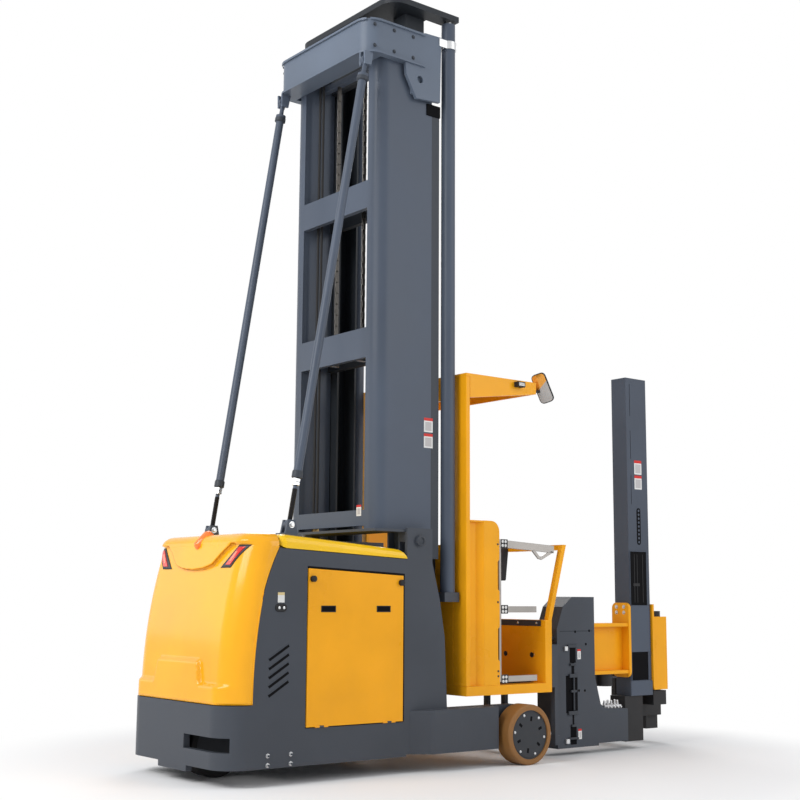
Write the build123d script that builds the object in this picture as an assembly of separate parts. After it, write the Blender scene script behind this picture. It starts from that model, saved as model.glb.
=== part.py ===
"""Very narrow aisle truck with a lifting cab and a traversing, turning fork head.

Millimetres. +X points ahead (the fork head), +Y to the left, +Z up.
The origin lies on the floor, under the middle of the whole truck.
Right-hand pieces are modelled, and left_of gives their mirror images.
"""
import math
import os
from build123d import *

# The whole truck
load_axle_x = 205
floor_clearance = 100
side_y = 575
skin = 12
running_gap = 8
bearing_gap = 0.05
seat_gap = 0.3

# Load wheels and the arms that carry them
load_wheel_d = 380
load_rim_d = 308
load_wheel_w = 130
load_wheel_face_y = 720
load_axle_d = 60
arm_face_y = 662
arm_inner_y = 493
arm_web_t = 62
arm_top_z = 372
arm_bottom_z = 112
arm_flare_rear_x = load_axle_x - 880
arm_flare_front_x = load_axle_x - 770
arm_block_front_x = load_axle_x - 222
arm_end_x = load_axle_x + 95

# Drive unit under the hood
drive_x = load_axle_x - 1925
drive_wheel_d = 360
drive_rim_d = 280
drive_wheel_w = 140
drive_axle_d = 70
drive_plate_z = 470
drive_plate_t = 30
drive_plate_inset = 65
turntable_r = 110
drive_motor_r = 130
drive_motor_h = 340

# Chassis, hood and bumper
rear_x = load_axle_x - 2190
bumper_top_z = 450
bumper_wall = 40
bumper_corner_r = 160
bumper_lip_drop = 34
bumper_lip_half_w = 165
slot_foot_z = 195
slot_top_z = 275
chassis_front_x = load_axle_x - 905
hood_seam_top_x = load_axle_x - 1847
hood_seam_top_z = 1333
hood_seam_foot_x = load_axle_x - 2013
hood_seam_foot_z = 472
hood_shoulder_x = load_axle_x - 2010
hood_shoulder_z = 1300
hood_top_z = 1419
hood_wall = 30
seam_gap = 4
cover_front_z = 1352
cover_wall = 20
cover_nose = 30
door_rear_x = load_axle_x - 1645
door_front_x = load_axle_x - 938
door_foot_z = 313
door_rear_top_z = 1221
door_front_top_z = 1188
door_t = 20
door_proud = 5
door_gap = 6
hinge_inset = 60
hinge_w = 90
hinge_r = 5.5
hinge_pin_r = 3
hood_seat = 13
stud_x = load_axle_x - 1902
stud_z = 119
stud_pitch_x = 155
stud_pitch_z = 52
stud_r = 6
stud_reach = 24
bay_wall_x = load_axle_x - 1705
bay_floor_z = 230
battery_gap = 25
battery_top_z = 1150

# Main mast
mast_rear_x = load_axle_x - 1088
mast_front_x = load_axle_x - 650
mast_half_w = 492
mast_open_half_w = 365
mast_wall = 14
mast_corner_r = 85
channel_rear_x = load_axle_x - 842
mast_seat_z = 1476
mast_foot_z = 120
crown_top_z = 4990
mast_top_z = crown_top_z - 290
bar_t = 38
bar_drops = [(3200, 3100), (2125, 1930), (1135, 950)]  # foot and top of each cross bar, below the mast's top
head_rear_x = load_axle_x - 1225
head_front_x = load_axle_x - 748
head_half_w = 530
head_top_z = crown_top_z - 200
head_foot_z = head_top_z - 234
head_corner_r = 110
head_lip = 14
lug_t = 24
lug_hole_r = 25
shoulder_t = 25

# Inner mast
inner_web_y = 430
inner_wall_t = 14
inner_lip_y = 300
inner_foot_z = 160
inner_bar_t = 40
inner_bar_drops = [(4730, 4570), (2400, 2235), (1410, 1255), (390, 230)]  # foot and top, below the crown's top
crown_t = 40
crown_rear_x = load_axle_x - 1040
crown_front_x = load_axle_x - 460
crown_half_w = 550
crown_corner_r = 120
guide_roller_w = 34

# Lift cylinders, one before each mast column
cylinder_x = load_axle_x - 513
cylinder_y = 500
barrel_r = 47
barrel_bore_r = 38
rod_r = 32
barrel_foot_z = 1090
barrel_top_z = crown_top_z - 60
barrel_base_t = 60

# Stays from the deck to the mast head
stay_foot_x = load_axle_x - 1705
stay_foot_y = 449
stay_foot_z = 1476
stay_top_x = load_axle_x - 1205
stay_top_y = 484
stay_top_z = head_foot_z - 56
stay_r = 27
stay_neck_r = 15
eye_half_t = 16
lug_cheek_t = 14

# Cab
cab_rear_x = load_axle_x - 440
cab_front_x = load_axle_x + 290
cab_half_w = 600
cab_foot_z = 440
cab_skin = 36
cab_floor_t = 60
roof_top_z = 2515
roof_front_x = load_axle_x + 194
roof_rear_depth = 160
roof_front_depth = 80
post_depth = 34
post_width = 130
column_front_x = load_axle_x - 150
column_top_z = 1515
column_corner_r = 70
rear_wall_top_z = 1400
front_wall_top_z = 914
rail_x = load_axle_x + 467
rail_top_z = 1420
rail_size = 36
console_right_y = -60
console_left_y = 236
mast_arm_y = 280
mast_arm_t = 20
cab_roller_heights = (620, 1330)

# Traverse frame and carriage
traverse_rail_x = load_axle_x + 345
traverse_rail_t = 46
traverse_upper_z = 690
traverse_lower_z = 92
traverse_rail_h = 60
column_rear_x = load_axle_x + 470
column_face_x = load_axle_x + 840
carriage_right_y = -500
carriage_left_y = -305
carriage_foot_z = 50
carriage_top_z = 1069
carriage_shoulder_z = 850
foot_front_x = load_axle_x + 1150
foot_plate_t = 22
foot_top_z = 300
roller_r = 35

# Fork mast
fork_mast_rear_x = load_axle_x + 1240
fork_mast_front_x = load_axle_x + 1460
fork_mast_right_y = -475
fork_mast_left_y = -335
fork_mast_foot_z = 370
fork_mast_top_z = 2685
fork_mast_wall = 12
fork_mast_lip = 38
pedestal_foot_z = 55
bracket_top_z = 885
bracket_foot_z = 530
bracket_plate_t = 24
bracket_plate_top_z = 1030

# Turning fork head
turn_x = load_axle_x + 1560
turn_y = -405
bearing_foot_z = 405
bearing_top_z = 930
bearing_half_w = 74
turn_shaft_r = 50
cap_r = 60
cap_h = 40
hanger_h = 110
fork_bar_reach = 125
fork_bar_t = 40
fork_bar_half_w = 225
fork_bar_foot_z = 200
fork_bar_top_z = 560
fork_pitch = 330
fork_w = 128
fork_t = 45
fork_heel_z = 100
fork_tip_y = 700
fork_tip_t = 14


def block(x0, x1, y0, y1, z0, z1):
    """A box between two corners."""
    size = Box(x1 - x0, y1 - y0, z1 - z0, align=(Align.MIN, Align.MIN, Align.MIN))
    return Pos(x0, y0, z0) * size


def side_plate(outline, y0, y1):
    """An outline of (x, z) points, thickened from y0 to y1."""
    face = make_face(Polyline(*[(x, y0, z) for x, z in outline], close=True))
    return extrude(face, amount=y1 - y0, dir=(0, 1, 0))


def end_plate(outline, x0, x1):
    """An outline of (y, z) points, thickened from x0 to x1."""
    face = make_face(Polyline(*[(x0, y, z) for y, z in outline], close=True))
    return extrude(face, amount=x1 - x0, dir=(1, 0, 0))


def deck_plate(outline, z0, z1):
    """An outline of (x, y) points, thickened from z0 to z1."""
    face = make_face(Polyline(*[(x, y, z0) for x, y in outline], close=True))
    return extrude(face, amount=z1 - z0, dir=(0, 0, 1))


def bar_along_x(x0, x1, y, z, r):
    return Pos(x0, y, z) * Rot(0, 90, 0) * Cylinder(r, x1 - x0, align=(Align.CENTER, Align.CENTER, Align.MIN))


def bar_along_y(x, y0, y1, z, r):
    return Pos(x, y0, z) * Rot(-90, 0, 0) * Cylinder(r, y1 - y0, align=(Align.CENTER, Align.CENTER, Align.MIN))


def bar_along_z(x, y, z0, z1, r):
    return Pos(x, y, z0) * Cylinder(r, z1 - z0, align=(Align.CENTER, Align.CENTER, Align.MIN))


def strut(start, end, r):
    """A round bar between two points."""
    a, b = Vector(*start), Vector(*end)
    return Plane(origin=a, z_dir=b - a) * Cylinder(r, (b - a).length, align=(Align.CENTER, Align.CENTER, Align.MIN))


def left_of(shape):
    """The mirror image on the truck's other side."""
    return mirror(shape, about=Plane.XZ)


def both_sides(shape):
    return Compound(children=[shape, left_of(shape)])


def round_edges(shape, radius, axis, pick):
    """Rounds the edges along an axis that pick accepts, by their middle."""
    edges = [edge for edge in shape.edges().filter_by(axis) if pick(edge.center())]
    return fillet(edges, radius)


# Chassis

def door_outline(gap):
    return [
        (door_rear_x - gap, door_foot_z - gap),
        (door_rear_x - gap, door_rear_top_z + gap),
        (door_front_x + gap, door_front_top_z + gap),
        (door_front_x + gap, door_foot_z - gap),
    ]


def make_chassis_frame():
    inner = side_y - skin
    wall = side_plate([
        (hood_seam_foot_x, floor_clearance),
        (hood_seam_foot_x, hood_seam_foot_z),
        (hood_seam_top_x, hood_seam_top_z),
        (chassis_front_x, 1290),
        (chassis_front_x, floor_clearance),
    ], -side_y, -inner)
    wall -= side_plate(door_outline(door_gap), -side_y - 1, -inner + 1)
    frame = wall + left_of(wall)
    frame += block(chassis_front_x - skin, chassis_front_x, -inner, inner, floor_clearance, 1290)
    frame += block(bay_wall_x - skin, bay_wall_x, -inner, inner, bay_floor_z, 1290)
    frame += block(bay_wall_x - skin, chassis_front_x, -inner, inner, bay_floor_z, bay_floor_z + 30)
    hood_inner_y = side_y - hood_wall
    seat_rear_x = hood_seam_foot_x - hood_seat
    neck_x = hood_seam_foot_x + 2 * seam_gap
    tail_x = rear_x + bumper_wall + drive_plate_inset
    tail_y = hood_inner_y - bumper_wall
    half_plate = deck_plate([
        (tail_x, 0), (tail_x, -tail_y), (seat_rear_x, -tail_y), (seat_rear_x, -hood_inner_y),
        (neck_x, -hood_inner_y), (neck_x, -inner), (bay_wall_x, -inner), (bay_wall_x, 0),
    ], drive_plate_z, drive_plate_z + drive_plate_t)
    plate = half_plate + left_of(half_plate)
    plate -= bar_along_z(drive_x, 0, drive_plate_z - 1, drive_plate_z + drive_plate_t + 1,
                         turntable_r + bearing_gap)
    frame += plate
    bumper_inner_y = side_y - bumper_wall
    tab = block(rear_x + bumper_corner_r, neck_x + skin, -bumper_inner_y, -bumper_inner_y + skin,
                floor_clearance + bumper_wall, bumper_top_z - bumper_wall)
    tab += block(neck_x, neck_x + skin, -inner, -bumper_inner_y, floor_clearance + bumper_wall,
                 bumper_top_z - bumper_wall)
    frame += tab + left_of(tab)
    for x in (door_rear_x + hinge_inset, door_front_x - hinge_inset - hinge_w):
        middle = x + hinge_w / 3
        knuckle = block(middle, x + 2 * hinge_w / 3, -side_y, -inner, door_foot_z - door_gap, door_foot_z - seat_gap)
        knuckle += bar_along_x(middle, x + 2 * hinge_w / 3, -side_y - door_proud, door_foot_z, hinge_r)
        knuckle -= bar_along_x(middle - 1, x + 2 * hinge_w / 3 + 1, -side_y - door_proud, door_foot_z,
                               hinge_pin_r + bearing_gap)
        frame += knuckle + left_of(knuckle)
    for x in (stud_x, stud_x + stud_pitch_x):
        for z in (stud_z, stud_z + stud_pitch_z):
            frame += bar_along_y(x, -side_y - stud_reach, -side_y, z, stud_r)
    return frame


def make_bumper():
    body = block(rear_x, hood_seam_foot_x, -side_y, side_y, floor_clearance, bumper_top_z)
    body = round_edges(body, bumper_corner_r, Axis.Z, lambda c: c.X < rear_x + 1)
    inner = block(rear_x + bumper_wall, hood_seam_foot_x + 1, -side_y + bumper_wall, side_y - bumper_wall,
                  floor_clearance - 1, bumper_top_z + 1)
    inner = round_edges(inner, bumper_corner_r - bumper_wall, Axis.Z, lambda c: c.X < rear_x + bumper_wall + 1)
    body -= inner
    body += block(rear_x, rear_x + bumper_wall, -bumper_lip_half_w, bumper_lip_half_w,
                  floor_clearance - bumper_lip_drop, floor_clearance)
    slot_right_y, slot_left_y = -side_y + 35, -bumper_lip_half_w + 34
    body -= block(rear_x - 1, rear_x + bumper_corner_r - 45, slot_right_y, slot_left_y, slot_foot_z, slot_top_z)
    return body


def hood_body(inset):
    """The hood's outer form, or its hollow when inset by the wall."""
    foot = bumper_top_z + seam_gap - (1 if inset else 0)
    top = hood_top_z - inset
    shoulder_r = 75
    lean = (hood_shoulder_x - rear_x) / (hood_shoulder_z - foot)
    rear_foot = (rear_x + inset, foot)
    crest = (rear_x + inset + lean * (top - foot), top)
    front_top = (hood_seam_top_x + inset - seam_gap, top)
    seam_top = (hood_seam_top_x + inset - seam_gap, hood_seam_top_z)
    seam_foot = (hood_seam_foot_x + inset - seam_gap, hood_seam_foot_z)
    front_foot = (hood_seam_foot_x + inset - seam_gap, foot)
    half_w = side_y - inset
    body = side_plate([rear_foot, crest, front_top, seam_top, seam_foot, front_foot], -half_w, half_w)
    corners = [e for e in body.edges()
               if abs(abs(e.center().Y) - half_w) < 1 and e.center().X < rear_foot[0] + 105
               and e.bounding_box().size.Z > 500]
    body = fillet(corners, 150 - inset)
    ridge = [e for e in body.edges() if abs(e.center().Z - top) < 1 and e.center().X < front_top[0] - 10]
    return fillet(ridge, shoulder_r - inset)


def make_hood():
    return hood_body(0) - hood_body(hood_wall)


def make_deck_cover():
    def cover(inset, drop):
        rear = hood_seam_top_x
        front = chassis_front_x - cover_nose
        return side_plate([
            (rear, hood_seam_top_z + seam_gap - drop),
            (rear, hood_top_z - inset),
            (front, cover_front_z - inset),
            (chassis_front_x, 1300),
            (chassis_front_x, 1290 + seam_gap - drop),
        ], -side_y + inset, side_y - inset)
    body = cover(0, 0)
    hollow = cover(cover_wall, 2)
    return body - hollow


def make_doors():
    door = side_plate(door_outline(0), -side_y - door_proud, -side_y - door_proud + door_t)
    outer_y = -side_y - door_proud
    for x in (door_rear_x + hinge_inset, door_front_x - hinge_inset - hinge_w):
        notch_x0, notch_x1 = x + hinge_w / 3 - seat_gap, x + 2 * hinge_w / 3 + seat_gap
        door -= block(notch_x0, notch_x1, outer_y - 1, outer_y + hinge_r + 1, door_foot_z - 1, door_foot_z + hinge_r + 1)
        door += bar_along_x(x, notch_x0, outer_y, door_foot_z, hinge_r)
        door += bar_along_x(notch_x1, x + hinge_w, outer_y, door_foot_z, hinge_r)
        door += bar_along_x(x, x + hinge_w, outer_y, door_foot_z, hinge_pin_r)
    for x, z in ((door_rear_x + 28, 1160), (door_front_x - 20, 1145)):
        door += bar_along_y(x, -side_y - door_proud - 18, -side_y - door_proud, z, 16)
    return door


def make_battery():
    return block(bay_wall_x + battery_gap, door_front_x - battery_gap + 30, -side_y + 60, side_y - 60,
                 bay_floor_z + 30, battery_top_z)


def make_load_arms():
    inner_face = -arm_inner_y
    web_face = -arm_inner_y - arm_web_t
    arm = deck_plate([
        (chassis_front_x, -side_y),
        (arm_flare_rear_x, -side_y),
        (arm_flare_front_x, -arm_face_y),
        (arm_block_front_x, -arm_face_y),
        (arm_block_front_x, web_face),
        (arm_end_x, web_face),
        (arm_end_x, inner_face),
        (chassis_front_x, inner_face),
    ], arm_bottom_z, arm_top_z)
    arm = round_edges(arm, 60, Axis.Z, lambda c: abs(c.X - arm_flare_front_x) < 1)
    arm = round_edges(arm, 80, Axis.Y, lambda c: abs(c.X - arm_end_x) < 1)
    return both_sides(arm)


def make_load_axles():
    tip = -load_wheel_face_y + 30
    axle = bar_along_y(load_axle_x, tip, -arm_inner_y - arm_web_t, load_wheel_d / 2, load_axle_d / 2)
    return both_sides(axle)


def make_load_tyre():
    y0 = -load_wheel_face_y
    tyre = bar_along_y(load_axle_x, y0, y0 + load_wheel_w, load_wheel_d / 2, load_wheel_d / 2)
    tyre = fillet(tyre.edges(), 12)
    return tyre - bar_along_y(load_axle_x, y0 - 1, y0 + load_wheel_w + 1, load_wheel_d / 2, load_rim_d / 2)


def make_load_hub():
    y0 = -load_wheel_face_y + 10
    y1 = -load_wheel_face_y + load_wheel_w
    z = load_wheel_d / 2
    hub = bar_along_y(load_axle_x, y0, y1, z, load_rim_d / 2)
    hub -= bar_along_y(load_axle_x, y0 - 1, y0 + 26, z, load_rim_d / 2 - 16)
    hub += bar_along_y(load_axle_x, y0 + 6, y1 + 20, z, 62)
    hub -= bar_along_y(load_axle_x, y0 + 8 + 6, y1 + 21, z, load_axle_d / 2 + bearing_gap)
    return hub


# Drive unit

def make_steer_yoke():
    z_axle = drive_wheel_d / 2
    leg_y0 = drive_wheel_w / 2 + 10
    yoke = bar_along_z(drive_x, 0, drive_plate_z - 50, drive_plate_z + drive_plate_t + 10, turntable_r)
    leg = side_plate([
        (drive_x - 90, drive_plate_z - 50), (drive_x + 90, drive_plate_z - 50),
        (drive_x + 70, z_axle - 60), (drive_x - 70, z_axle - 60),
    ], leg_y0, leg_y0 + 60)
    bridge = block(drive_x - 90, drive_x + 90, -60, leg_y0 + 60, drive_plate_z - 80, drive_plate_z - 50)
    axle = bar_along_y(drive_x, -drive_wheel_w / 2 + 30, leg_y0 + 1, z_axle, drive_axle_d / 2)
    return yoke + leg + bridge + axle


def make_drive_motor():
    foot = drive_plate_z + drive_plate_t + 10
    return bar_along_z(drive_x, 0, foot, foot + drive_motor_h, drive_motor_r)


def make_drive_tyre():
    tyre = bar_along_y(drive_x, -drive_wheel_w / 2, drive_wheel_w / 2, drive_wheel_d / 2, drive_wheel_d / 2)
    tyre = fillet(tyre.edges(), 12)
    return tyre - bar_along_y(drive_x, -drive_wheel_w, drive_wheel_w, drive_wheel_d / 2, drive_rim_d / 2)


def make_drive_hub():
    z = drive_wheel_d / 2
    hub = bar_along_y(drive_x, -drive_wheel_w / 2 + 5, drive_wheel_w / 2 - 5, z, drive_rim_d / 2)
    hub -= bar_along_y(drive_x, -drive_wheel_w / 2, -drive_wheel_w / 2 + 25, z, drive_rim_d / 2 - 18)
    return hub - bar_along_y(drive_x, -drive_wheel_w / 2 + 29, drive_wheel_w, z, drive_axle_d / 2 + bearing_gap)


# Main mast

def make_outer_mast():
    column = block(mast_rear_x, mast_front_x, -mast_half_w, -mast_open_half_w, mast_foot_z, mast_top_z)
    column = round_edges(column, mast_corner_r, Axis.Z, lambda c: c.X < mast_rear_x + 1 and c.Y < -mast_half_w + 1)
    rear_cell = block(mast_rear_x + mast_wall, channel_rear_x - mast_wall, -mast_half_w + mast_wall,
                      -mast_open_half_w - mast_wall, mast_foot_z - 1, mast_top_z + 1)
    rear_cell = round_edges(rear_cell, mast_corner_r - mast_wall, Axis.Z,
                            lambda c: c.X < mast_rear_x + mast_wall + 1 and c.Y < -mast_half_w + mast_wall + 1)
    channel = block(channel_rear_x, mast_front_x - mast_wall, -mast_half_w + mast_wall,
                    -mast_open_half_w + 1, mast_foot_z - 1, mast_top_z + 1)
    column -= rear_cell
    column -= channel
    column -= block(mast_rear_x - 1, chassis_front_x + seam_gap, -mast_half_w - 1, 0, mast_foot_z - 1, mast_seat_z)
    mast = column + left_of(column)
    for foot_drop, top_drop in bar_drops:
        mast += block(mast_rear_x, mast_rear_x + bar_t, -mast_open_half_w, mast_open_half_w,
                      mast_top_z - foot_drop, mast_top_z - top_drop)
    return mast


def make_mast_head():
    outer = block(head_rear_x, head_front_x, -head_half_w, head_half_w, head_foot_z, head_top_z)
    outer = round_edges(outer, head_corner_r, Axis.Z, lambda c: c.X < head_rear_x + 1)
    hollow_y = head_half_w - mast_wall
    hollow = block(head_rear_x + mast_wall, head_front_x + 1, -hollow_y, hollow_y, head_foot_z - 1, head_top_z + 1)
    hollow = round_edges(hollow, head_corner_r - mast_wall, Axis.Z, lambda c: c.X < head_rear_x + mast_wall + 1)
    head = outer - hollow
    for z in (head_foot_z, head_top_z - head_lip):
        lip = block(head_rear_x - head_lip, head_front_x, -head_half_w - head_lip, head_half_w + head_lip,
                    z, z + head_lip)
        lip = round_edges(lip, head_corner_r + head_lip, Axis.Z, lambda c: c.X < head_rear_x)
        reach = mast_half_w if z == head_foot_z else head_half_w - mast_wall
        well = block(mast_rear_x if z == head_foot_z else head_rear_x + mast_wall, head_front_x + 1,
                     -reach, reach, z - 1, z + head_lip + 1)
        head += lip - well
    lug = side_plate([
        (load_axle_x - 907, head_foot_z), (load_axle_x - 900, head_foot_z - 79), (load_axle_x - 813, head_foot_z - 229),
        (load_axle_x - 610, head_foot_z - 211), (load_axle_x - 600, head_top_z + 19), (load_axle_x - 744, head_top_z + 13),
        (head_front_x, head_top_z),
        (head_front_x, head_foot_z),
    ], -head_half_w, -head_half_w + lug_t)
    lug -= bar_along_y(load_axle_x - 783, -head_half_w - 1, -head_half_w + lug_t + 1, head_foot_z - 91,
                        lug_hole_r)
    lug += block(load_axle_x - 840, mast_front_x, -head_half_w + lug_t, -mast_half_w,
                 head_foot_z - 196, head_foot_z - 36)
    inner = eye_half_t + seat_gap
    for y in (-stay_top_y - inner - lug_cheek_t, -stay_top_y + inner):
        lug += side_plate([
            (stay_top_x - 26, stay_top_z - 34), (stay_top_x + 26, stay_top_z - 34),
            (stay_top_x + 44, head_foot_z), (stay_top_x - 28, head_foot_z),
        ], y, y + lug_cheek_t)
    head += lug + left_of(lug)
    return head


def make_mast_shoulders():
    """Side plates that tie the mast's foot to the chassis, with the sill across it."""
    plate = side_plate([
        (chassis_front_x, mast_seat_z + 10), (load_axle_x - 703, mast_seat_z + 10), (load_axle_x - 702, 1272),
        (load_axle_x - 640, 1040), (load_axle_x - 600, 810), (load_axle_x - 580, arm_top_z),
        (chassis_front_x, arm_top_z),
    ], -side_y, -side_y + shoulder_t)
    plate += bar_along_y(load_axle_x - 808, -side_y - 12, -side_y, 1407, 34)
    plate += block(chassis_front_x, load_axle_x - 703, -side_y + shoulder_t, -mast_half_w, 1400, mast_seat_z - 1)
    plate += block(chassis_front_x, load_axle_x - 660, -side_y + shoulder_t, -mast_half_w, arm_top_z, 470)
    seat = block(mast_rear_x - 60, chassis_front_x, -side_y + 20, side_y - 20, mast_seat_z - 16, mast_seat_z)
    return Compound(children=[(plate + seat + left_of(plate)).solid()])


def make_stays():
    """Two long tubes with a forked end at each end."""
    foot = Vector(stay_foot_x, -stay_foot_y, stay_foot_z)
    top = Vector(stay_top_x, -stay_top_y, stay_top_z)
    along = (top - foot).normalized()
    tube = strut(foot + along * 300, top - along * 110, stay_r)
    rod = strut(foot + along * 20, foot + along * 301, 13)
    collar = strut(top - along * 130, top - along * 100, stay_r + 8)
    eye_top = strut(top - along * 101, top, stay_neck_r)
    eye_top += bar_along_y(top.X, top.Y - eye_half_t, top.Y + eye_half_t, top.Z, 34)
    eye_foot = bar_along_y(foot.X, foot.Y - eye_half_t, foot.Y + eye_half_t, foot.Z, 32)
    return both_sides(tube + rod + collar + eye_top + eye_foot)


def deck_z(x):
    """Height of the deck cover's sloping top."""
    slope = (cover_front_z - hood_top_z) / (chassis_front_x - cover_nose - hood_seam_top_x)
    return hood_top_z + slope * (x - hood_seam_top_x)


def make_stay_lugs():
    """Forked lugs on the deck, which take the stays' lower eyes."""
    x0, x1 = stay_foot_x - 60, stay_foot_x + 60
    base = [(x0, deck_z(x0)), (x0, deck_z(x0) + 14), (x1, deck_z(x1) + 14), (x1, deck_z(x1))]
    lug = side_plate(base, -stay_foot_y - 50, -stay_foot_y + 50)
    cheek = [
        (stay_foot_x - 46, deck_z(x0) + 5), (stay_foot_x - 26, stay_foot_z + 30),
        (stay_foot_x + 26, stay_foot_z + 30), (stay_foot_x + 46, deck_z(x1) + 5),
    ]
    inner = eye_half_t + seat_gap
    lug += side_plate(cheek, -stay_foot_y - inner - lug_cheek_t, -stay_foot_y - inner)
    lug += side_plate(cheek, -stay_foot_y + inner, -stay_foot_y + inner + lug_cheek_t)
    return both_sides(lug)


def make_barrels():
    tube = bar_along_z(cylinder_x, -cylinder_y, barrel_foot_z, barrel_top_z, barrel_r)
    tube -= bar_along_z(cylinder_x, -cylinder_y, barrel_foot_z + 40, barrel_top_z + 1, barrel_bore_r)
    return both_sides(tube)


def make_barrel_brackets():
    base = block(cylinder_x - 66, cylinder_x + 55, -cylinder_y - 50, -cylinder_y + 50,
                 barrel_foot_z - barrel_base_t, barrel_foot_z)
    base += block(mast_front_x, cylinder_x - 66, -mast_half_w, -cylinder_y + 60, barrel_foot_z - 160, barrel_foot_z)
    return both_sides(base)


def make_barrel_clamps():
    z0, z1 = barrel_top_z - 185, barrel_top_z - 130
    ring = bar_along_z(cylinder_x, -cylinder_y, z0, z1, barrel_r + 8)
    ring += block(load_axle_x - 620, cylinder_x, -head_half_w - 6, -head_half_w, z0, z1)
    ring -= bar_along_z(cylinder_x, -cylinder_y, z0 - 1, z1 + 1, barrel_r)
    return both_sides(ring)


def make_inner_mast():
    rear = channel_rear_x + running_gap
    front = mast_front_x - mast_wall - running_gap
    upright = block(rear, front, -inner_web_y, -inner_lip_y, inner_foot_z, crown_top_z - crown_t)
    upright -= block(rear + inner_wall_t, front - inner_wall_t, -inner_web_y + inner_wall_t, -inner_lip_y + 1,
                     inner_foot_z - 1, crown_top_z)
    mast = upright + left_of(upright)
    bar_half_w = mast_open_half_w - running_gap
    for foot_drop, top_drop in inner_bar_drops:
        mast += block(rear - inner_bar_t, rear, -bar_half_w, bar_half_w,
                      crown_top_z - foot_drop, crown_top_z - top_drop)
    crown = block(crown_rear_x, crown_front_x, -crown_half_w, crown_half_w, crown_top_z - crown_t, crown_top_z)
    crown = round_edges(crown, crown_corner_r, Axis.Z, lambda c: c.X < crown_rear_x + 1)
    crown -= block(load_axle_x - 660, crown_front_x + 1, -crown_half_w + 110, crown_half_w - 110,
                   crown_top_z - crown_t - 1, crown_top_z + 1)
    return mast + crown


def make_guide_rollers():
    """Rollers at the inner mast's foot, which run in the outer channels."""
    mid_x = (channel_rear_x + mast_front_x - mast_wall) / 2
    r = (mast_front_x - mast_wall - channel_rear_x) / 2 - seat_gap
    rollers = []
    for z in (inner_foot_z + 110, inner_foot_z + 810):
        roller = bar_along_y(mid_x, -inner_web_y - guide_roller_w, -inner_web_y, z, r)
        rollers += [roller, left_of(roller)]
    return Compound(children=rollers)


def make_rods():
    rod = bar_along_z(cylinder_x, -cylinder_y, barrel_foot_z + 60, crown_top_z - crown_t, rod_r)
    return both_sides(rod)


# Cab

def make_cab_floor():
    return block(cab_rear_x, cab_front_x, -cab_half_w, cab_half_w, cab_foot_z, cab_foot_z + cab_floor_t)


def make_cab_posts():
    """Rear posts, each one sheet folded round the cab's rear corner."""
    z0 = cab_foot_z + cab_floor_t
    post = block(cab_rear_x, cab_rear_x + post_depth, -cab_half_w, -cab_half_w + post_width, z0, roof_top_z - 20)
    column = side_plate([
        (cab_rear_x + post_depth, z0), (column_front_x, z0), (column_front_x, column_top_z),
        (cab_rear_x + post_depth, column_top_z),
    ], -cab_half_w, -cab_half_w + cab_skin)
    column = round_edges(column, column_corner_r, Axis.Y,
                         lambda c: abs(c.X - column_front_x) < 1 and c.Z > column_top_z - 1)
    return both_sides(post + column)


def make_cab_rear_wall():
    z0 = cab_foot_z + cab_floor_t
    half = cab_half_w - post_width
    return block(cab_rear_x, cab_rear_x + 30, -half, half, z0, rear_wall_top_z)


def make_cab_roof():
    def form(inset, drop):
        return side_plate([
            (cab_rear_x + inset, roof_top_z - inset),
            (roof_front_x - inset, roof_top_z - inset),
            (roof_front_x - inset, roof_top_z - roof_front_depth - drop),
            (cab_rear_x + post_depth + inset, roof_top_z - roof_rear_depth - drop),
            (cab_rear_x + inset, roof_top_z - roof_rear_depth - drop),
        ], -cab_half_w + inset, cab_half_w - inset)
    roof = form(0, 0) - form(20, 60)
    roof -= block(cab_rear_x - 1, cab_rear_x + post_depth, -cab_half_w - 1, -cab_half_w + post_width,
                  0, roof_top_z - 20)
    roof -= block(cab_rear_x - 1, cab_rear_x + post_depth, cab_half_w - post_width, cab_half_w + 1,
                  0, roof_top_z - 20)
    return roof


def make_cab_front_wall():
    z0 = cab_foot_z + cab_floor_t
    wall = block(cab_front_x - 30, cab_front_x, -cab_half_w, cab_half_w, z0, front_wall_top_z)
    for y in (-221, -478):
        for side in (1, -1):
            wall -= bar_along_x(cab_front_x - 31, cab_front_x + 1, side * y, 681, 16)
    return wall


def make_front_rail():
    brace = side_plate([
        (cab_front_x, cab_foot_z), (cab_front_x + 28, cab_foot_z), (cab_front_x + 32, front_wall_top_z),
        (rail_x, rail_top_z), (rail_x - 36, rail_top_z), (cab_front_x, front_wall_top_z + 10),
    ], -cab_half_w, -cab_half_w + 36)
    frame = brace + left_of(brace)
    frame += block(rail_x - 36, rail_x, -cab_half_w + 36, cab_half_w - 36, rail_top_z - rail_size, rail_top_z)
    return frame


def make_console():
    desk = side_plate([
        (rail_x - 250, 1180), (rail_x - 60, 1180), (rail_x - 36, rail_top_z - 40), (rail_x - 36, rail_top_z + 20),
        (rail_x - 250, rail_top_z - 60),
    ], console_right_y, console_left_y)
    return fillet(desk.edges().filter_by(Axis.Y), 12)


def make_gate():
    """Three bars on an upright, which swings into the cab."""
    y0 = -cab_half_w + 6
    x0 = column_front_x + 12 + seat_gap
    gate = bar_along_z(x0, y0 + 12, 520, 1440, 12)
    for z, reach, h in ((1385, 470, 50), (980, 300, 36), (540, 190, 36)):
        gate += block(x0, x0 + reach, y0 + 4, y0 + 16, z - h / 2, z + h / 2)
    return gate


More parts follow.
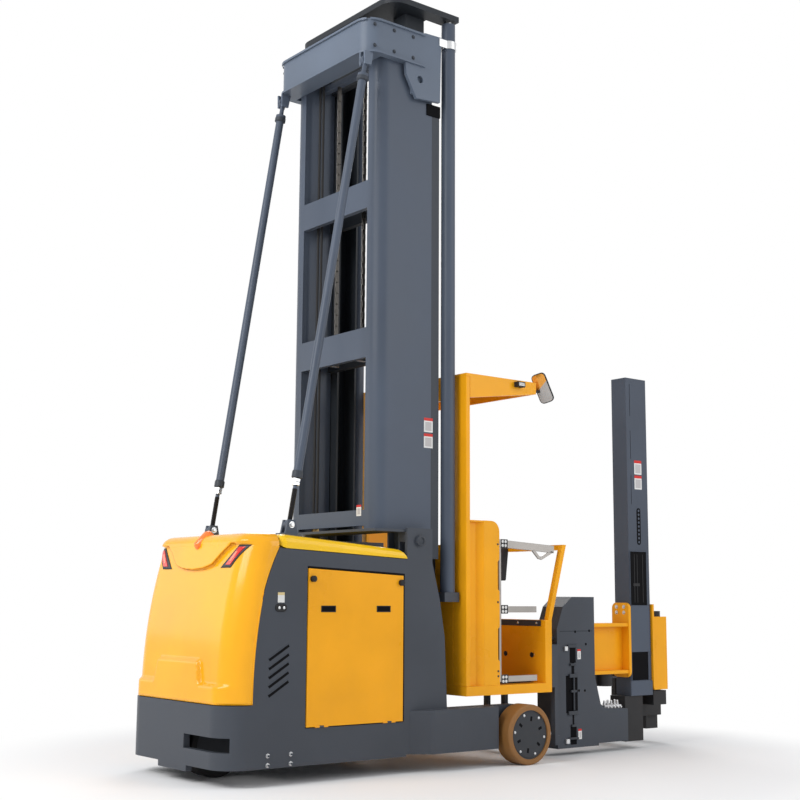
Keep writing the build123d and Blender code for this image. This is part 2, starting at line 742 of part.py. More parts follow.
def make_cab_carriage():
    """Arms from the cab's back into the mast, which carry its rollers."""
    rear = channel_rear_x + running_gap + 20
    arm = block(rear, cab_rear_x, -mast_arm_y - mast_arm_t / 2, -mast_arm_y + mast_arm_t / 2, 520, 1430)
    mid_x = (channel_rear_x + mast_front_x - mast_wall) / 2
    for z in cab_roller_heights:
        arm += bar_along_y(mid_x, -mast_arm_y - 14 - 10, -mast_arm_y, z, 25)
    frame = arm + left_of(arm)
    frame += block(cab_rear_x - 60, cab_rear_x, -mast_arm_y + 10, mast_arm_y - 10, 700, 900)
    return frame


def make_cab_rollers():
    mid_x = (channel_rear_x + mast_front_x - mast_wall) / 2
    r = (mast_front_x - mast_wall - channel_rear_x) / 2 - running_gap - inner_wall_t - seat_gap
    rollers = []
    for z in cab_roller_heights:
        roller = bar_along_y(mid_x, -inner_web_y + inner_wall_t + 10, -mast_arm_y - 24, z, r)
        rollers += [roller, left_of(roller)]
    return Compound(children=rollers)


def make_work_lamp():
    return block(load_axle_x - 10, load_axle_x + 55, -cab_half_w - 40, -cab_half_w, 2465, 2500)


def make_mirror():
    glass = Pos(load_axle_x + 245, -cab_half_w - 10, 2490) * Rot(0, 25, 0) * Box(18, 110, 240)
    stalk = block(roof_front_x, load_axle_x + 240, -cab_half_w + 4, -cab_half_w + 24, 2450, 2470)
    return glass + stalk


# Traverse frame on the cab's front

def make_traverse_frame():
    x0, x1 = traverse_rail_x, traverse_rail_x + traverse_rail_t
    frame = Part()
    for z in (traverse_upper_z, traverse_lower_z):
        frame += block(x0, x1, -cab_half_w, cab_half_w, z, z + traverse_rail_h)
    for y in (-cab_half_w, -110, 110 - 40, cab_half_w - 40):
        frame += block(x0, x1 - 16, y, y + 40, traverse_lower_z, traverse_upper_z)
        frame += block(cab_front_x + 32, x0, y, y + 40, 470, traverse_upper_z + traverse_rail_h)
        frame += block(cab_front_x, cab_front_x + 32, y, y + 40, 470, 640) if abs(y) < 500 else Part()
    return frame


def make_traverse_carriage():
    """The L-shaped column and foot, rounded at the top of its back."""
    body = side_plate([
        (column_rear_x, carriage_foot_z), (column_rear_x, carriage_shoulder_z),
        (column_rear_x + 60, 1000), (column_rear_x + 150, carriage_top_z),
        (column_face_x, carriage_top_z), (column_face_x, bracket_foot_z - 10), (column_face_x + 55, foot_top_z + 30),
        (column_face_x + 100, foot_top_z), (foot_front_x, foot_top_z - 10), (foot_front_x, 66),
        (column_face_x + 30, 66), (column_face_x + 30, carriage_foot_z),
    ], carriage_right_y, carriage_left_y)
    body += block(foot_front_x, foot_front_x + foot_plate_t, carriage_right_y, carriage_left_y, 60, foot_top_z - 12)
    return body


def make_traverse_rollers():
    x0 = traverse_rail_x + 6
    rollers = Part()
    for y in (carriage_right_y + 45, carriage_left_y - 45):
        z = traverse_upper_z + traverse_rail_h + roller_r + seat_gap
        rollers += bar_along_x(x0, traverse_rail_x + traverse_rail_t, y, z, roller_r)
        rollers += bar_along_x(x0 + 10, column_rear_x, y, z, 14)
        rx = traverse_rail_x + traverse_rail_t + 25 + seat_gap
        rollers += bar_along_z(rx, y, traverse_lower_z + 10, traverse_lower_z + 50, 25)
        rollers += block(rx - 14, column_rear_x, y - 14, y + 14, traverse_lower_z + 50, traverse_lower_z + 70)
    return rollers


def make_mast_bracket():
    """Flanged arm from the column to the fork mast, with the plate that holds the mast."""
    mid_y = (carriage_right_y + carriage_left_y) / 2
    plate_x0 = fork_mast_rear_x - bracket_plate_t
    bracket = block(column_face_x, plate_x0, mid_y - 75, mid_y + 75, bracket_top_z - 24, bracket_top_z)
    bracket += block(column_face_x, plate_x0, mid_y - 75, mid_y + 75, bracket_foot_z, bracket_foot_z + 24)
    bracket += block(column_face_x, plate_x0, mid_y - 15, mid_y + 15, bracket_foot_z, bracket_top_z)
    plate = block(plate_x0, fork_mast_rear_x, fork_mast_right_y - 10, fork_mast_left_y + 10,
                  bracket_foot_z - 30, bracket_plate_top_z)
    plate = round_edges(plate, 40, Axis.X, lambda c: True)
    return bracket + plate


def make_bracket_boss():
    mid_y = (carriage_right_y + carriage_left_y) / 2
    x = load_axle_x + 1030
    return bar_along_z(x, mid_y, bracket_foot_z - 85, bracket_foot_z, 64)


def make_pedestal():
    return block(foot_front_x + foot_plate_t, load_axle_x + 1360, fork_mast_right_y, fork_mast_left_y,
                 pedestal_foot_z, fork_mast_foot_z)


def make_fork_mast():
    x0, x1 = fork_mast_rear_x, fork_mast_front_x
    y0, y1 = fork_mast_right_y, fork_mast_left_y
    t = fork_mast_wall
    mast = block(x0, x1, y0, y1, fork_mast_foot_z, fork_mast_top_z)
    mast -= block(x0 + t, x1 - t, y0 + t, y1 - t, fork_mast_foot_z + t, fork_mast_top_z - t)
    mast -= block(x1 - t - 1, x1 + 1, y0 + fork_mast_lip, y1 - fork_mast_lip, fork_mast_foot_z + 30,
                  fork_mast_top_z - 30)
    return mast


# Fork head

def make_lift_carriage():
    """Slider in the fork mast, with the bearing housing that the fork head turns in."""
    mid_y = (fork_mast_right_y + fork_mast_left_y) / 2
    inside = (fork_mast_left_y - fork_mast_right_y) / 2 - fork_mast_wall - seat_gap
    neck = (fork_mast_left_y - fork_mast_right_y) / 2 - fork_mast_lip - running_gap
    x0 = fork_mast_rear_x + fork_mast_wall + running_gap
    x1 = fork_mast_front_x - fork_mast_wall - running_gap
    plate_x = fork_mast_front_x + running_gap
    body = block(x0, x1, mid_y - inside, mid_y + inside, 480, 980)
    body += block(x1, plate_x, mid_y - neck, mid_y + neck, 480, 980)
    body += block(plate_x, turn_x - bearing_half_w, mid_y - 85, mid_y + 85, 420, 1020)
    housing = block(turn_x - bearing_half_w, turn_x + bearing_half_w, turn_y - bearing_half_w,
                    turn_y + bearing_half_w, bearing_foot_z, bearing_top_z)
    body += housing
    body -= bar_along_z(turn_x, turn_y, bearing_foot_z - 1, bearing_top_z + 1, turn_shaft_r + bearing_gap)
    return body


def make_turn_shaft():
    cap_z = bearing_top_z + seat_gap
    shaft = bar_along_z(turn_x, turn_y, bearing_foot_z - hanger_h, cap_z, turn_shaft_r)
    shaft += bar_along_z(turn_x, turn_y, cap_z, cap_z + cap_h, cap_r)
    return shaft


def make_fork_bar():
    """Bar that the forks hang on, carried from the shaft's foot."""
    y0 = turn_y + fork_bar_reach
    bar = block(turn_x - fork_bar_half_w, turn_x + fork_bar_half_w, y0, y0 + fork_bar_t,
                fork_bar_foot_z, fork_bar_top_z)
    hanger = block(turn_x - 70, turn_x + 70, turn_y - 60, y0, bearing_foot_z - hanger_h, bearing_foot_z - 8)
    hanger -= bar_along_z(turn_x, turn_y, 0, bearing_foot_z, turn_shaft_r)
    return bar + hanger


def make_fork(x):
    y0 = turn_y + fork_bar_reach + fork_bar_t
    outline = [
        (y0, fork_heel_z), (y0, fork_bar_top_z), (y0 + fork_t - 10, fork_bar_top_z),
        (y0 + fork_t, fork_heel_z + 90), (y0 + fork_t + 30, fork_heel_z + fork_t),
        (fork_tip_y - 300, fork_heel_z + fork_t), (fork_tip_y, fork_heel_z + fork_tip_t),
        (fork_tip_y, fork_heel_z),
    ]
    return end_plate(outline, x - fork_w / 2, x + fork_w / 2)


parts = {
    "chassis_frame": make_chassis_frame(),
    "rear_bumper": make_bumper(),
    "rear_hood": make_hood(),
    "deck_cover": make_deck_cover(),
    "battery_door_right": make_doors(),
    "battery_door_left": left_of(make_doors()),
    "battery": make_battery(),
    "load_arms": make_load_arms(),
    "load_axles": make_load_axles(),
    "load_tyre_right": make_load_tyre(),
    "load_tyre_left": left_of(make_load_tyre()),
    "load_hub_right": make_load_hub(),
    "load_hub_left": left_of(make_load_hub()),
    "steer_yoke": make_steer_yoke(),
    "drive_motor": make_drive_motor(),
    "drive_tyre": make_drive_tyre(),
    "drive_hub": make_drive_hub(),
    "outer_mast": make_outer_mast(),
    "mast_head": make_mast_head(),
    "mast_shoulders": make_mast_shoulders(),
    "mast_stays": make_stays(),
    "stay_lugs": make_stay_lugs(),
    "lift_barrels": make_barrels(),
    "barrel_brackets": make_barrel_brackets(),
    "barrel_clamps": make_barrel_clamps(),
    "inner_mast": make_inner_mast(),
    "guide_rollers": make_guide_rollers(),
    "lift_rods": make_rods(),
    "cab_floor": make_cab_floor(),
    "cab_posts": make_cab_posts(),
    "cab_rear_wall": make_cab_rear_wall(),
    "cab_roof": make_cab_roof(),
    "cab_front_wall": make_cab_front_wall(),
    "cab_front_rail": make_front_rail(),
    "control_console": make_console(),
    "gate_right": make_gate(),
    "gate_left": left_of(make_gate()),
    "cab_carriage": make_cab_carriage(),
    "cab_rollers": make_cab_rollers(),
    "work_lamp": make_work_lamp(),
    "cab_mirror": make_mirror(),
    "traverse_frame": make_traverse_frame(),
    "traverse_carriage": make_traverse_carriage(),
    "traverse_rollers": make_traverse_rollers(),
    "mast_bracket": make_mast_bracket(),
    "bracket_boss": make_bracket_boss(),
    "mast_pedestal": make_pedestal(),
    "fork_mast": make_fork_mast(),
    "lift_carriage": make_lift_carriage(),
    "turn_shaft": make_turn_shaft(),
    "fork_bar": make_fork_bar(),
    "fork_rear": make_fork(turn_x - fork_pitch / 2),
    "fork_front": make_fork(turn_x + fork_pitch / 2),
}

os.makedirs("parts", exist_ok=True)
for name, shape in parts.items():
    export_step(shape, f"parts/{name}.step")
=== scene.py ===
import math

import bpy
from mathutils import Matrix, Vector


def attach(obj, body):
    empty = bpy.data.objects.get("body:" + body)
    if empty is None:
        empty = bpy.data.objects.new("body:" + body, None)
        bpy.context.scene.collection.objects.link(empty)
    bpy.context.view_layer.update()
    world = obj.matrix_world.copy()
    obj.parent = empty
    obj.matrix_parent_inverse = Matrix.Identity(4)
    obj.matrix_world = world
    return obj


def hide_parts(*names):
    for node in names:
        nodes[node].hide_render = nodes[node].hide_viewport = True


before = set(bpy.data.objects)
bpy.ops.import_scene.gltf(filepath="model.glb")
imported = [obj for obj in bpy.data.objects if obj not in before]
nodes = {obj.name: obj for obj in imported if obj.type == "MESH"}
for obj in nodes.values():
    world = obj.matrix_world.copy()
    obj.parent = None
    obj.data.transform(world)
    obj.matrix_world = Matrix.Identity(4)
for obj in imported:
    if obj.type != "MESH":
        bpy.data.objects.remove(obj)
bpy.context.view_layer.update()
print("stage: frame loaded,", len(nodes), "nodes")


# Camera, at the photograph's angle: behind the truck on its right, low down
cameraSetup = {
    "place": (-5.811, -6.950, 1.050),
    "heading": 51.6477,      # degrees from +X towards +Y
    "pitch": 8.6288,
    "roll": 0.3912,
    "focal": 1307.34,        # in pixels of an 800 pixel wide picture
    "width": 800,
}


def makeCamera(setup):
    data = bpy.data.cameras.new("camera")
    data.sensor_width = 36
    data.lens = setup["focal"] * data.sensor_width / setup["width"]
    data.clip_end = 100
    camera = bpy.data.objects.new("camera", data)
    bpy.context.scene.collection.objects.link(camera)
    heading, pitch, roll = (math.radians(setup[name]) for name in ("heading", "pitch", "roll"))
    level = math.cos(pitch)
    ahead = Vector((math.cos(heading) * level, math.sin(heading) * level, math.sin(pitch)))
    turn = ahead.to_track_quat("-Z", "Y").to_matrix().to_4x4() @ Matrix.Rotation(roll, 4, "Z")
    camera.matrix_world = Matrix.Translation(setup["place"]) @ turn
    bpy.context.scene.camera = camera


makeCamera(cameraSetup)


# Nodes of materials and of the world. An input is given a value, or the socket that feeds it
def setInputs(tree, node, inputs):
    for name, value in inputs.items():
        if isinstance(value, bpy.types.NodeSocket):
            tree.links.new(value, node.inputs[name])
        else:
            node.inputs[name].default_value = value


def addNode(tree, kind, inputs=None, **settings):
    node = tree.nodes.new("ShaderNode" + kind)
    for name, value in settings.items():
        setattr(node, name, value)
    setInputs(tree, node, inputs or {})
    return node


def calculate(tree, operation, *values):
    return addNode(tree, "Math", dict(enumerate(values)), operation=operation).outputs["Value"]


def mapRange(tree, value, ends, results=(0, 1), **settings):
    inputs = dict(zip(("Value", "From Min", "From Max", "To Min", "To Max"), (value, *ends, *results)))
    return addNode(tree, "MapRange", inputs, **settings).outputs["Result"]


def addNoise(tree, place, scale, detail):
    return addNode(tree, "TexNoise", {"Vector": place, "Scale": scale, "Detail": detail}).outputs["Fac"]


def mixColours(tree, share, first, second):
    return addNode(tree, "MixRGB", {"Fac": share, "Color1": first, "Color2": second}).outputs["Color"]


def mixShaders(tree, share, first, second):
    return addNode(tree, "MixShader", {"Fac": share, 1: first.outputs[0], 2: second.outputs[0]}).outputs[0]


# Studio: a pale floor that fades into a white world, and soft lamps
studio = {
    "floorSize": 60,
    "floorColour": (0.93, 0.93, 0.93, 1),
    "fadeStart": 2.2,        # how far from the middle the floor starts to turn white, and ends
    "fadeEnd": 3.3,
    "worldLight": 0.50,
    "worldColour": (0.94, 0.96, 1, 1),
    "aim": (0, 0, 1.6),
    "lamps": [               # name, place, size, watts
        ("keyLamp", (-8.6, -0.8, 6.2), 5.0, 560),
        ("hoodLamp", (-5.4, 7.0, 2.9), 3.0, 28),    # its reflection lies on the hood's tail
        ("fillLamp", (4.0, -8.0, 5.0), 6.0, 260),
        ("backLamp", (5.0, 7.0, 7.0), 5.0, 260),
    ],
}


def seenDirectly(tree):
    # 1 for rays from the camera, and for those that metal and glass send on, so that they show the white too
    path = addNode(tree, "LightPath")
    total = path.outputs["Is Camera Ray"]
    for name in ("Is Glossy Ray", "Is Transmission Ray"):
        total = calculate(tree, "MAXIMUM", total, path.outputs[name])
    return total


def fadeToWhite(tree, shader, start, end):
    # seen directly, the floor turns plain white away from the truck
    place = addNode(tree, "TexCoord").outputs["Object"]
    away = addNode(tree, "VectorMath", {0: place}, operation="LENGTH").outputs["Value"]
    fade = mapRange(tree, away, (start, end), interpolation_type="SMOOTHSTEP")
    share = calculate(tree, "MULTIPLY", seenDirectly(tree), fade)
    mix = mixShaders(tree, share, shader, addNode(tree, "Emission"))
    tree.links.new(mix, tree.nodes["Material Output"].inputs["Surface"])


def makeStudio(setup):
    bpy.ops.object.select_all(action="DESELECT")
    bpy.ops.mesh.primitive_plane_add(size=setup["floorSize"], location=(0, 0, 0))
    floor = bpy.context.object
    floor.name = "floor"
    material = bpy.data.materials.new("paleFloor")
    material.use_nodes = True
    tree = material.node_tree
    shader = tree.nodes["Principled BSDF"]
    setInputs(tree, shader, {"Roughness": 0.9, "Specular IOR Level": 0.1, "Base Color": setup["floorColour"]})
    fadeToWhite(tree, shader, setup["fadeStart"], setup["fadeEnd"])
    floor.data.materials.append(material)
    world = bpy.data.worlds.new("studioWorld")
    bpy.context.scene.world = world
    world.use_nodes = True
    tree = world.node_tree
    tree.nodes.clear()
    seen = addNode(tree, "Background", {"Color": (1, 1, 1, 1)})
    light = addNode(tree, "Background", {"Color": setup["worldColour"], "Strength": setup["worldLight"]})
    addNode(tree, "OutputWorld", {"Surface": mixShaders(tree, seenDirectly(tree), light, seen)})
    for name, place, size, watts in setup["lamps"]:
        data = bpy.data.lights.new(name, "AREA")
        data.size = size
        data.energy = watts
        lamp = bpy.data.objects.new(name, data)
        lamp.location = place
        lamp.rotation_euler = (Vector(setup["aim"]) - Vector(place)).to_track_quat("-Z", "Y").to_euler()
        bpy.context.scene.collection.objects.link(lamp)
    bpy.context.scene.view_settings.view_transform = "Standard"


makeStudio(studio)
print("stage: camera and studio")


# Finishes. Each is painted by noise on Object coordinates, in metres
finishes = {
    "paint": {      # colour, roughness, orange peel, dust near the floor, clear coat
        "truckGrey": ((0.057, 0.065, 0.080), 0.42, 0.25, 0.08, 0.04),
        "mastGrey": ((0.076, 0.094, 0.128), 0.40, 0.25, 0.05, 0.04),
        # painted light: a lighter copy of the mast's grey, for the mast head
        "mastGreyPaintedLight": ((0.130, 0.160, 0.210), 0.40, 0.25, 0.05, 0.04),
        "forkGrey": ((0.068, 0.082, 0.110), 0.42, 0.25, 0.05, 0.04),
        "darkGrey": ((0.045, 0.052, 0.064), 0.45, 0.20, 0.25, 0.04),
        # near-black grey as painted shade, for the mast's shaded inside
        "shadedGrey": ((0.022, 0.026, 0.032), 0.50, 0.20, 0.10, 0.04),
        "discGrey": ((0.036, 0.040, 0.047), 0.45, 0.20, 0.15, 0.04),
        "greyCase": ((0.060, 0.065, 0.075), 0.55, 0.15, 0.30, 0.04),
        "blackPaint": ((0.018, 0.018, 0.020), 0.45, 0.20, 0.20, 0.04),
        "amberPaint": ((0.940, 0.410, 0.008), 0.30, 0.30, 0.04, 0.04),
        "hoodPaint": ((0.950, 0.430, 0.008), 0.22, 0.30, 0.02, 0.30),
        # the deck's amber made yellower, as a painted highlight like that on its lit bevels
        "deckAmberPaintedHighlight": ((0.970, 0.580, 0.008), 0.26, 0.30, 0.02, 0.20),
        "shadedAmber": ((0.620, 0.235, 0.006), 0.40, 0.30, 0.04, 0.04),
        "whitePlate": ((0.78, 0.78, 0.76), 0.40, 0.05, 0.05, 0.04),
        "palePlate": ((0.52, 0.50, 0.50), 0.40, 0.05, 0.05, 0.04),
        "creamPlate": ((0.72, 0.58, 0.30), 0.40, 0.05, 0.05, 0.04),
        "redPlate": ((0.62, 0.035, 0.030), 0.40, 0.05, 0.05, 0.04),
    },
    "metal": {      # colour, roughness, grain
        "steel": ((0.50, 0.50, 0.51), 0.32, 60),
        "zinc": ((0.66, 0.67, 0.68), 0.28, 90),
        "brushed": ((0.36, 0.34, 0.32), 0.34, 140),
        "chrome": ((0.72, 0.73, 0.74), 0.12, 40),
        "chainSteel": ((0.16, 0.15, 0.14), 0.45, 120),
        "brass": ((0.70, 0.48, 0.20), 0.30, 90),
    },
    "rubber": {     # colour, roughness, shine
        "polyurethane": ((0.250, 0.115, 0.030), 0.55, 0.40),
        "blackRubber": ((0.014, 0.014, 0.015), 0.70, 0.40),
        "blackPlastic": ((0.016, 0.016, 0.018), 0.50, 0.25),
        "deepBlack": ((0.004, 0.004, 0.005), 0.75, 0.08),
    },
    "lens": {       # colour, roughness
        "redLens": ((0.75, 0.020, 0.012), 0.12),
        "amberLens": ((0.92, 0.20, 0.020), 0.15),
        "orangeLens": ((0.90, 0.22, 0.12), 0.12),
        "clearLens": ((0.72, 0.72, 0.70), 0.12),
    },
    "mirror": {
        "mirrorGlass": ((0.42, 0.41, 0.40), 0.12),
    },
}


# painted reflection on the mirror glass: the slant and height of its edge, and the amber of the roof edge it
# stands for
paintedReflection = {"slant": 0.9, "edge": (1.940, 1.946), "colour": (0.80, 0.36, 0.05, 1)}
dusty = {"top": 0.9, "patchScale": 9, "patchDetail": 8, "share": 0.6, "tint": (0.10, 0.09, 0.08)}
cloudy = {"scale": 1.7, "detail": 5, "stops": (0.32, 0.68), "paint": (0.90, 1.06), "other": (0.82, 1.12)}


def addPaintedReflection(tree, place, base):
    # painted reflection: amber above a slanted line, standing for the amber roof edge that the mirror shows at
    # that angle
    split = addNode(tree, "SeparateXYZ", {"Vector": place}).outputs
    height = calculate(tree, "MULTIPLY_ADD", split["Y"], paintedReflection["slant"], split["Z"])
    return mixColours(tree, mapRange(tree, height, paintedReflection["edge"]), base, paintedReflection["colour"])


def addDust(tree, place, base, colour, amount):
    # dust gathers near the floor, in patches
    height = addNode(tree, "SeparateXYZ", {"Vector": place}).outputs["Z"]
    patches = addNoise(tree, place, dusty["patchScale"], dusty["patchDetail"])
    cover = calculate(tree, "MULTIPLY", mapRange(tree, height, (0, dusty["top"]), (amount, 0)), patches)
    grey = (colour.x + colour.y + colour.z) / 3 * dusty["share"]
    return mixColours(tree, cover, base, (*(grey + tint for tint in dusty["tint"]), 1))


def makeFinish(name, kind, colour, rough, *rest):
    material = bpy.data.materials.new(name)
    material.use_nodes = True
    tree = material.node_tree
    shader = tree.nodes["Principled BSDF"]
    place = addNode(tree, "TexCoord").outputs["Object"]
    cloud = addNoise(tree, place, cloudy["scale"], cloudy["detail"])
    shade = addNode(tree, "ValToRGB", {"Fac": cloud})
    colour = Vector(colour)
    spread = cloudy["paint" if kind == "paint" else "other"]
    for stop, position, factor in zip(shade.color_ramp.elements, cloudy["stops"], spread):
        stop.position = position
        stop.color = (*(colour * factor), 1)
    base = shade.outputs["Color"]
    bump = addNode(tree, "Bump")
    if kind == "paint":
        peel, dust, coat = rest
        skin = 420, peel * 0.25, 0.0006          # scale, strength and depth of the skin
        look = {"Specular IOR Level": 0.20, "Coat Weight": coat, "Coat Roughness": 0.12}
        base = addDust(tree, place, base, colour, dust)
    elif kind == "metal":
        skin = rest[0], 0.12, 0.0004
        look = {"Metallic": 1}
    elif kind == "mirror":
        skin = 30, 0.03, bump.inputs["Distance"].default_value
        look = {"Metallic": 0.35}
        # the mirror glass gets a painted reflection of the amber roof edge
        base = addPaintedReflection(tree, place, base)
    elif kind == "lens":
        skin = 240, 0.35, 0.0010
        look = {"Coat Weight": 0.15, "Coat Roughness": 0.05}
    else:
        skin = 160, 0.25, 0.0008
        look = {"Specular IOR Level": rest[0]}
    scale, strength, depth = skin
    setInputs(tree, bump, {"Strength": strength, "Distance": depth, "Height": addNoise(tree, place, scale, 3)})
    roughness = mapRange(tree, cloud, (0.3, 0.7), (rough - 0.06, rough + 0.08))
    look.update({"Roughness": roughness, "Normal": bump.outputs["Normal"], "Base Color": base})
    setInputs(tree, shader, look)
    return material


made = {name: makeFinish(name, kind, *values)
        for kind, table in finishes.items() for name, values in table.items()}
print("stage:", len(made), "finishes")

nodeFinish = {
    "truckGrey": ["chassis_frame", "rear_bumper", "load_arms", "mast_shoulders", "cab_carriage",
                  "traverse_frame", "traverse_carriage", "barrel_brackets"],
    "mastGrey": ["outer_mast", "mast_stays", "stay_lugs", "lift_barrels"],
    # the mast head gets the lighter copy of the mast's grey, as painted light
    "mastGreyPaintedLight": ["mast_head"],
    "forkGrey": ["fork_mast"],
    "amberPaint": ["rear_hood", "deck_cover", "battery_door_right", "battery_door_left", "cab_floor",
                   "cab_posts", "cab_rear_wall", "cab_roof", "cab_front_wall", "cab_front_rail",
                   "mast_bracket", "lift_carriage"],
    # the inner mast is painted near black, as painted shade inside the outer mast
    "shadedGrey": ["inner_mast"],
    "darkGrey": ["load_hub_right", "load_hub_left", "drive_hub", "steer_yoke"],
    "blackPaint": ["drive_motor", "bracket_boss", "mast_pedestal", "turn_shaft", "fork_bar",
                   "fork_rear", "fork_front"],
    "steel": ["load_axles", "guide_rollers", "cab_rollers", "traverse_rollers"],
    "chrome": ["lift_rods"],
    "zinc": ["barrel_clamps"],
    "brushed": ["gate_right", "gate_left"],
    "polyurethane": ["load_tyre_right", "load_tyre_left"],
    # the drive tyre is made black as painted shade: it sits in deep shadow under the bumper
    "blackRubber": ["drive_tyre"],
    "blackPlastic": ["control_console", "work_lamp", "cab_mirror"],
    "greyCase": ["battery"],
}

for finish, names in nodeFinish.items():
    for name in names:
        nodes[name].data.materials.clear()
        nodes[name].data.materials.append(made[finish])
print("stage: nodes painted")


# Making of pieces. Each starts from a primitive, is shaped in edit mode, and ends with its place in its mesh
sides = ((1, "Right"), (-1, "Left"))


def across(side, *reaches):
    # from low to high, the Y of places that far out on one side of the truck
    return sorted(-side * reach for reach in reaches)


def joined(parts):
    bpy.ops.object.select_all(action="DESELECT")
    for part in parts:
        part.select_set(True)
    bpy.context.view_layer.objects.active = parts[0]
    if len(parts) > 1:
        bpy.ops.object.join()
    return bpy.context.object


def applyPlace():
    bpy.ops.object.transform_apply(location=True, rotation=True, scale=True)


def editAll(change, **values):
    # makes one change in edit mode to all of the active piece
    bpy.ops.object.mode_set(mode="EDIT")
    bpy.ops.mesh.select_all(action="SELECT")
    change(**values)
    bpy.ops.object.mode_set(mode="OBJECT")


def finishPiece(parts, name, finish, body, smooth=False):
    piece = joined(parts if isinstance(parts, list) else [parts])
    piece.name = name
    applyPlace()
    editAll(bpy.ops.mesh.normals_make_consistent, inside=False)
    if smooth:
        bpy.ops.object.shade_smooth()
    piece.data.materials.clear()
    piece.data.materials.append(made[finish])
    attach(piece, body)
    return piece


def pulled(piece, step):
    # all that the piece has so far is pulled along a step, which makes a sheet a solid
    editAll(bpy.ops.mesh.extrude_region_move, TRANSFORM_OT_translate={"value": step})
    return piece


def bevelEdges(width, segments=2):
    editAll(bpy.ops.mesh.bevel, offset=width, segments=segments, affect="EDGES")


def addPrimitive(add, **values):
    bpy.ops.object.select_all(action="DESELECT")
    add(**values)
    return bpy.context.object


def addBlock(low, high, bevel=0.001, turn=None):
    # a bevelled block between two corners, turned about its middle when asked
    middle = [(a + b) / 2 for a, b in zip(low, high)]
    piece = addPrimitive(bpy.ops.mesh.primitive_cube_add, size=1, location=middle)
    piece.scale = [abs(b - a) for a, b in zip(low, high)]
    bpy.ops.object.transform_apply(location=False, rotation=False, scale=True)
    if bevel:
        bevelEdges(bevel)
    if turn:
        piece.rotation_euler = turn
    applyPlace()
    return piece


def addBoxes(boxes, low, high, bevel):
    # blocks on a side wall, each given as (rear, front, foot, top), from low to high in Y
    return [addBlock((rear, low, foot), (front, high, top), bevel) for rear, front, foot, top in boxes]


def frameBoxes(rear, front, foot, top, wideX, wideZ):
    # the four bars that lie just inside an opening's edge
    return [(rear, front, foot, foot + wideZ), (rear, front, top - wideZ, top),
            (rear, rear + wideX, foot, top), (front - wideX, front, foot, top)]


def addPlate(outline, axis, low, high, bevel=0.0008):
    # an outline pulled along X, Y or Z from low to high
    piece = addPrimitive(bpy.ops.mesh.primitive_circle_add, vertices=len(outline), radius=1, fill_type="NGON")
    for vertex, (a, b) in zip(piece.data.vertices, outline):
        vertex.co = {"X": (low, a, b), "Y": (a, low, b), "Z": (a, b, low)}[axis]
    pulled(piece, [high - low if name == axis else 0 for name in "XYZ"])
    if bevel:
        bevelEdges(bevel, 1)
    return piece


def addTurned(foot, axis, profile, edges=24):
    # a round piece from its foot along an axis. Profile lists how far along and how wide, as (place, radius)
    place, radius = profile[0]
    piece = addPrimitive(bpy.ops.mesh.primitive_circle_add, vertices=edges, radius=radius, fill_type="NGON")
    bpy.ops.object.mode_set(mode="EDIT")
    bpy.ops.mesh.select_all(action="SELECT")
    for nextPlace, nextRadius in profile[1:]:
        bpy.ops.mesh.extrude_region_move(TRANSFORM_OT_translate={"value": (0, 0, nextPlace - place)})
        ratio = nextRadius / radius
        bpy.ops.transform.resize(value=(ratio, ratio, 1), center_override=(0, 0, nextPlace))
        place, radius = nextPlace, nextRadius
    bpy.ops.object.mode_set(mode="OBJECT")
    piece.rotation_euler = Vector(axis).to_track_quat("Z", "Y").to_euler()
    piece.location = foot
    applyPlace()
    return piece


def addGrid(columns, rows):
    return addPrimitive(bpy.ops.mesh.primitive_grid_add, x_subdivisions=columns, y_subdivisions=rows, size=1)


def addRod(foot, radius, length, edges):
    return addTurned(foot, (0, 0, 1), [(0, radius), (length, radius)], edges)


def addBolts(places, axis, size, height):
    # hexagon heads on washers
    bolts = []
    washer = 0.0016
    for place in places:
        rim = [(0, size * 1.5), (washer, size * 1.5), (0.0018, size * 1.42)]
        bolts.append(addTurned(place, axis, rim, 20))
        head = Vector(place) + Vector(axis) * washer
        bolts.append(addTurned(head, axis, [(0, size), (height, size), (height + 0.0012, size * 0.82)], 6))
    return joined(bolts)


def roundedOutline(halfA, halfB, corner, steps=6):
    outline = []
    for signA, signB, turn in ((1, 1, 0), (-1, 1, 1), (-1, -1, 2), (1, -1, 3)):
        for i in range(steps + 1):
            angle = math.pi / 2 * (turn + i / steps)
            outline.append((signA * (halfA - corner) + corner * math.cos(angle),
                            signB * (halfB - corner) + corner * math.sin(angle)))
    return outline


# Hood: one moulded cover with a rounded tail, a raised visor and a proud lower band
hood = {
    "foot": 0.454, "shoulderFoot": 1.346, "top": 1.419,
    "tailFoot": -1.957, "tailLean": 0.151, "tailBulge": 2.1, "rearLimit": -1.9848,
    "seamFoot": -1.808, "seamLean": 0.162, "seamBulge": 2.8,
    "halfWidth": 0.575, "corner": 0.150, "wall": 0.005,
    "ledge": 0.026, "ledgeSide": 0.572, "ledgeMiddle": 0.702, "ledgeHalf": 0.225, "ledgeStep": 0.045,
    "ledgeEnds": (0.44, 0.56), "visor": 0.024, "visorEnds": (0.46, 0.56), "visorStep": 0.008,
    "visorEdge": ((0.0, 1.214), (0.12, 1.222), (0.214, 1.243), (0.306, 1.318), (0.375, 1.362), (0.60, 1.370)),
    "sideShare": 0.06, "cornerShare": 0.15,      # how much of the outline's points a side and its corner take
    "rows": ((0.454, 0.545, 6), (0.545, 0.715, 26), (0.715, 1.190, 12), (1.190, 1.346, 34)),
    "shoulderRows": 12, "columns": 170,
}


def tailX(z):
    share = (min(z, hood["top"]) - hood["foot"]) / (hood["top"] - hood["foot"])
    return hood["tailFoot"] + hood["tailLean"] * share ** hood["tailBulge"]


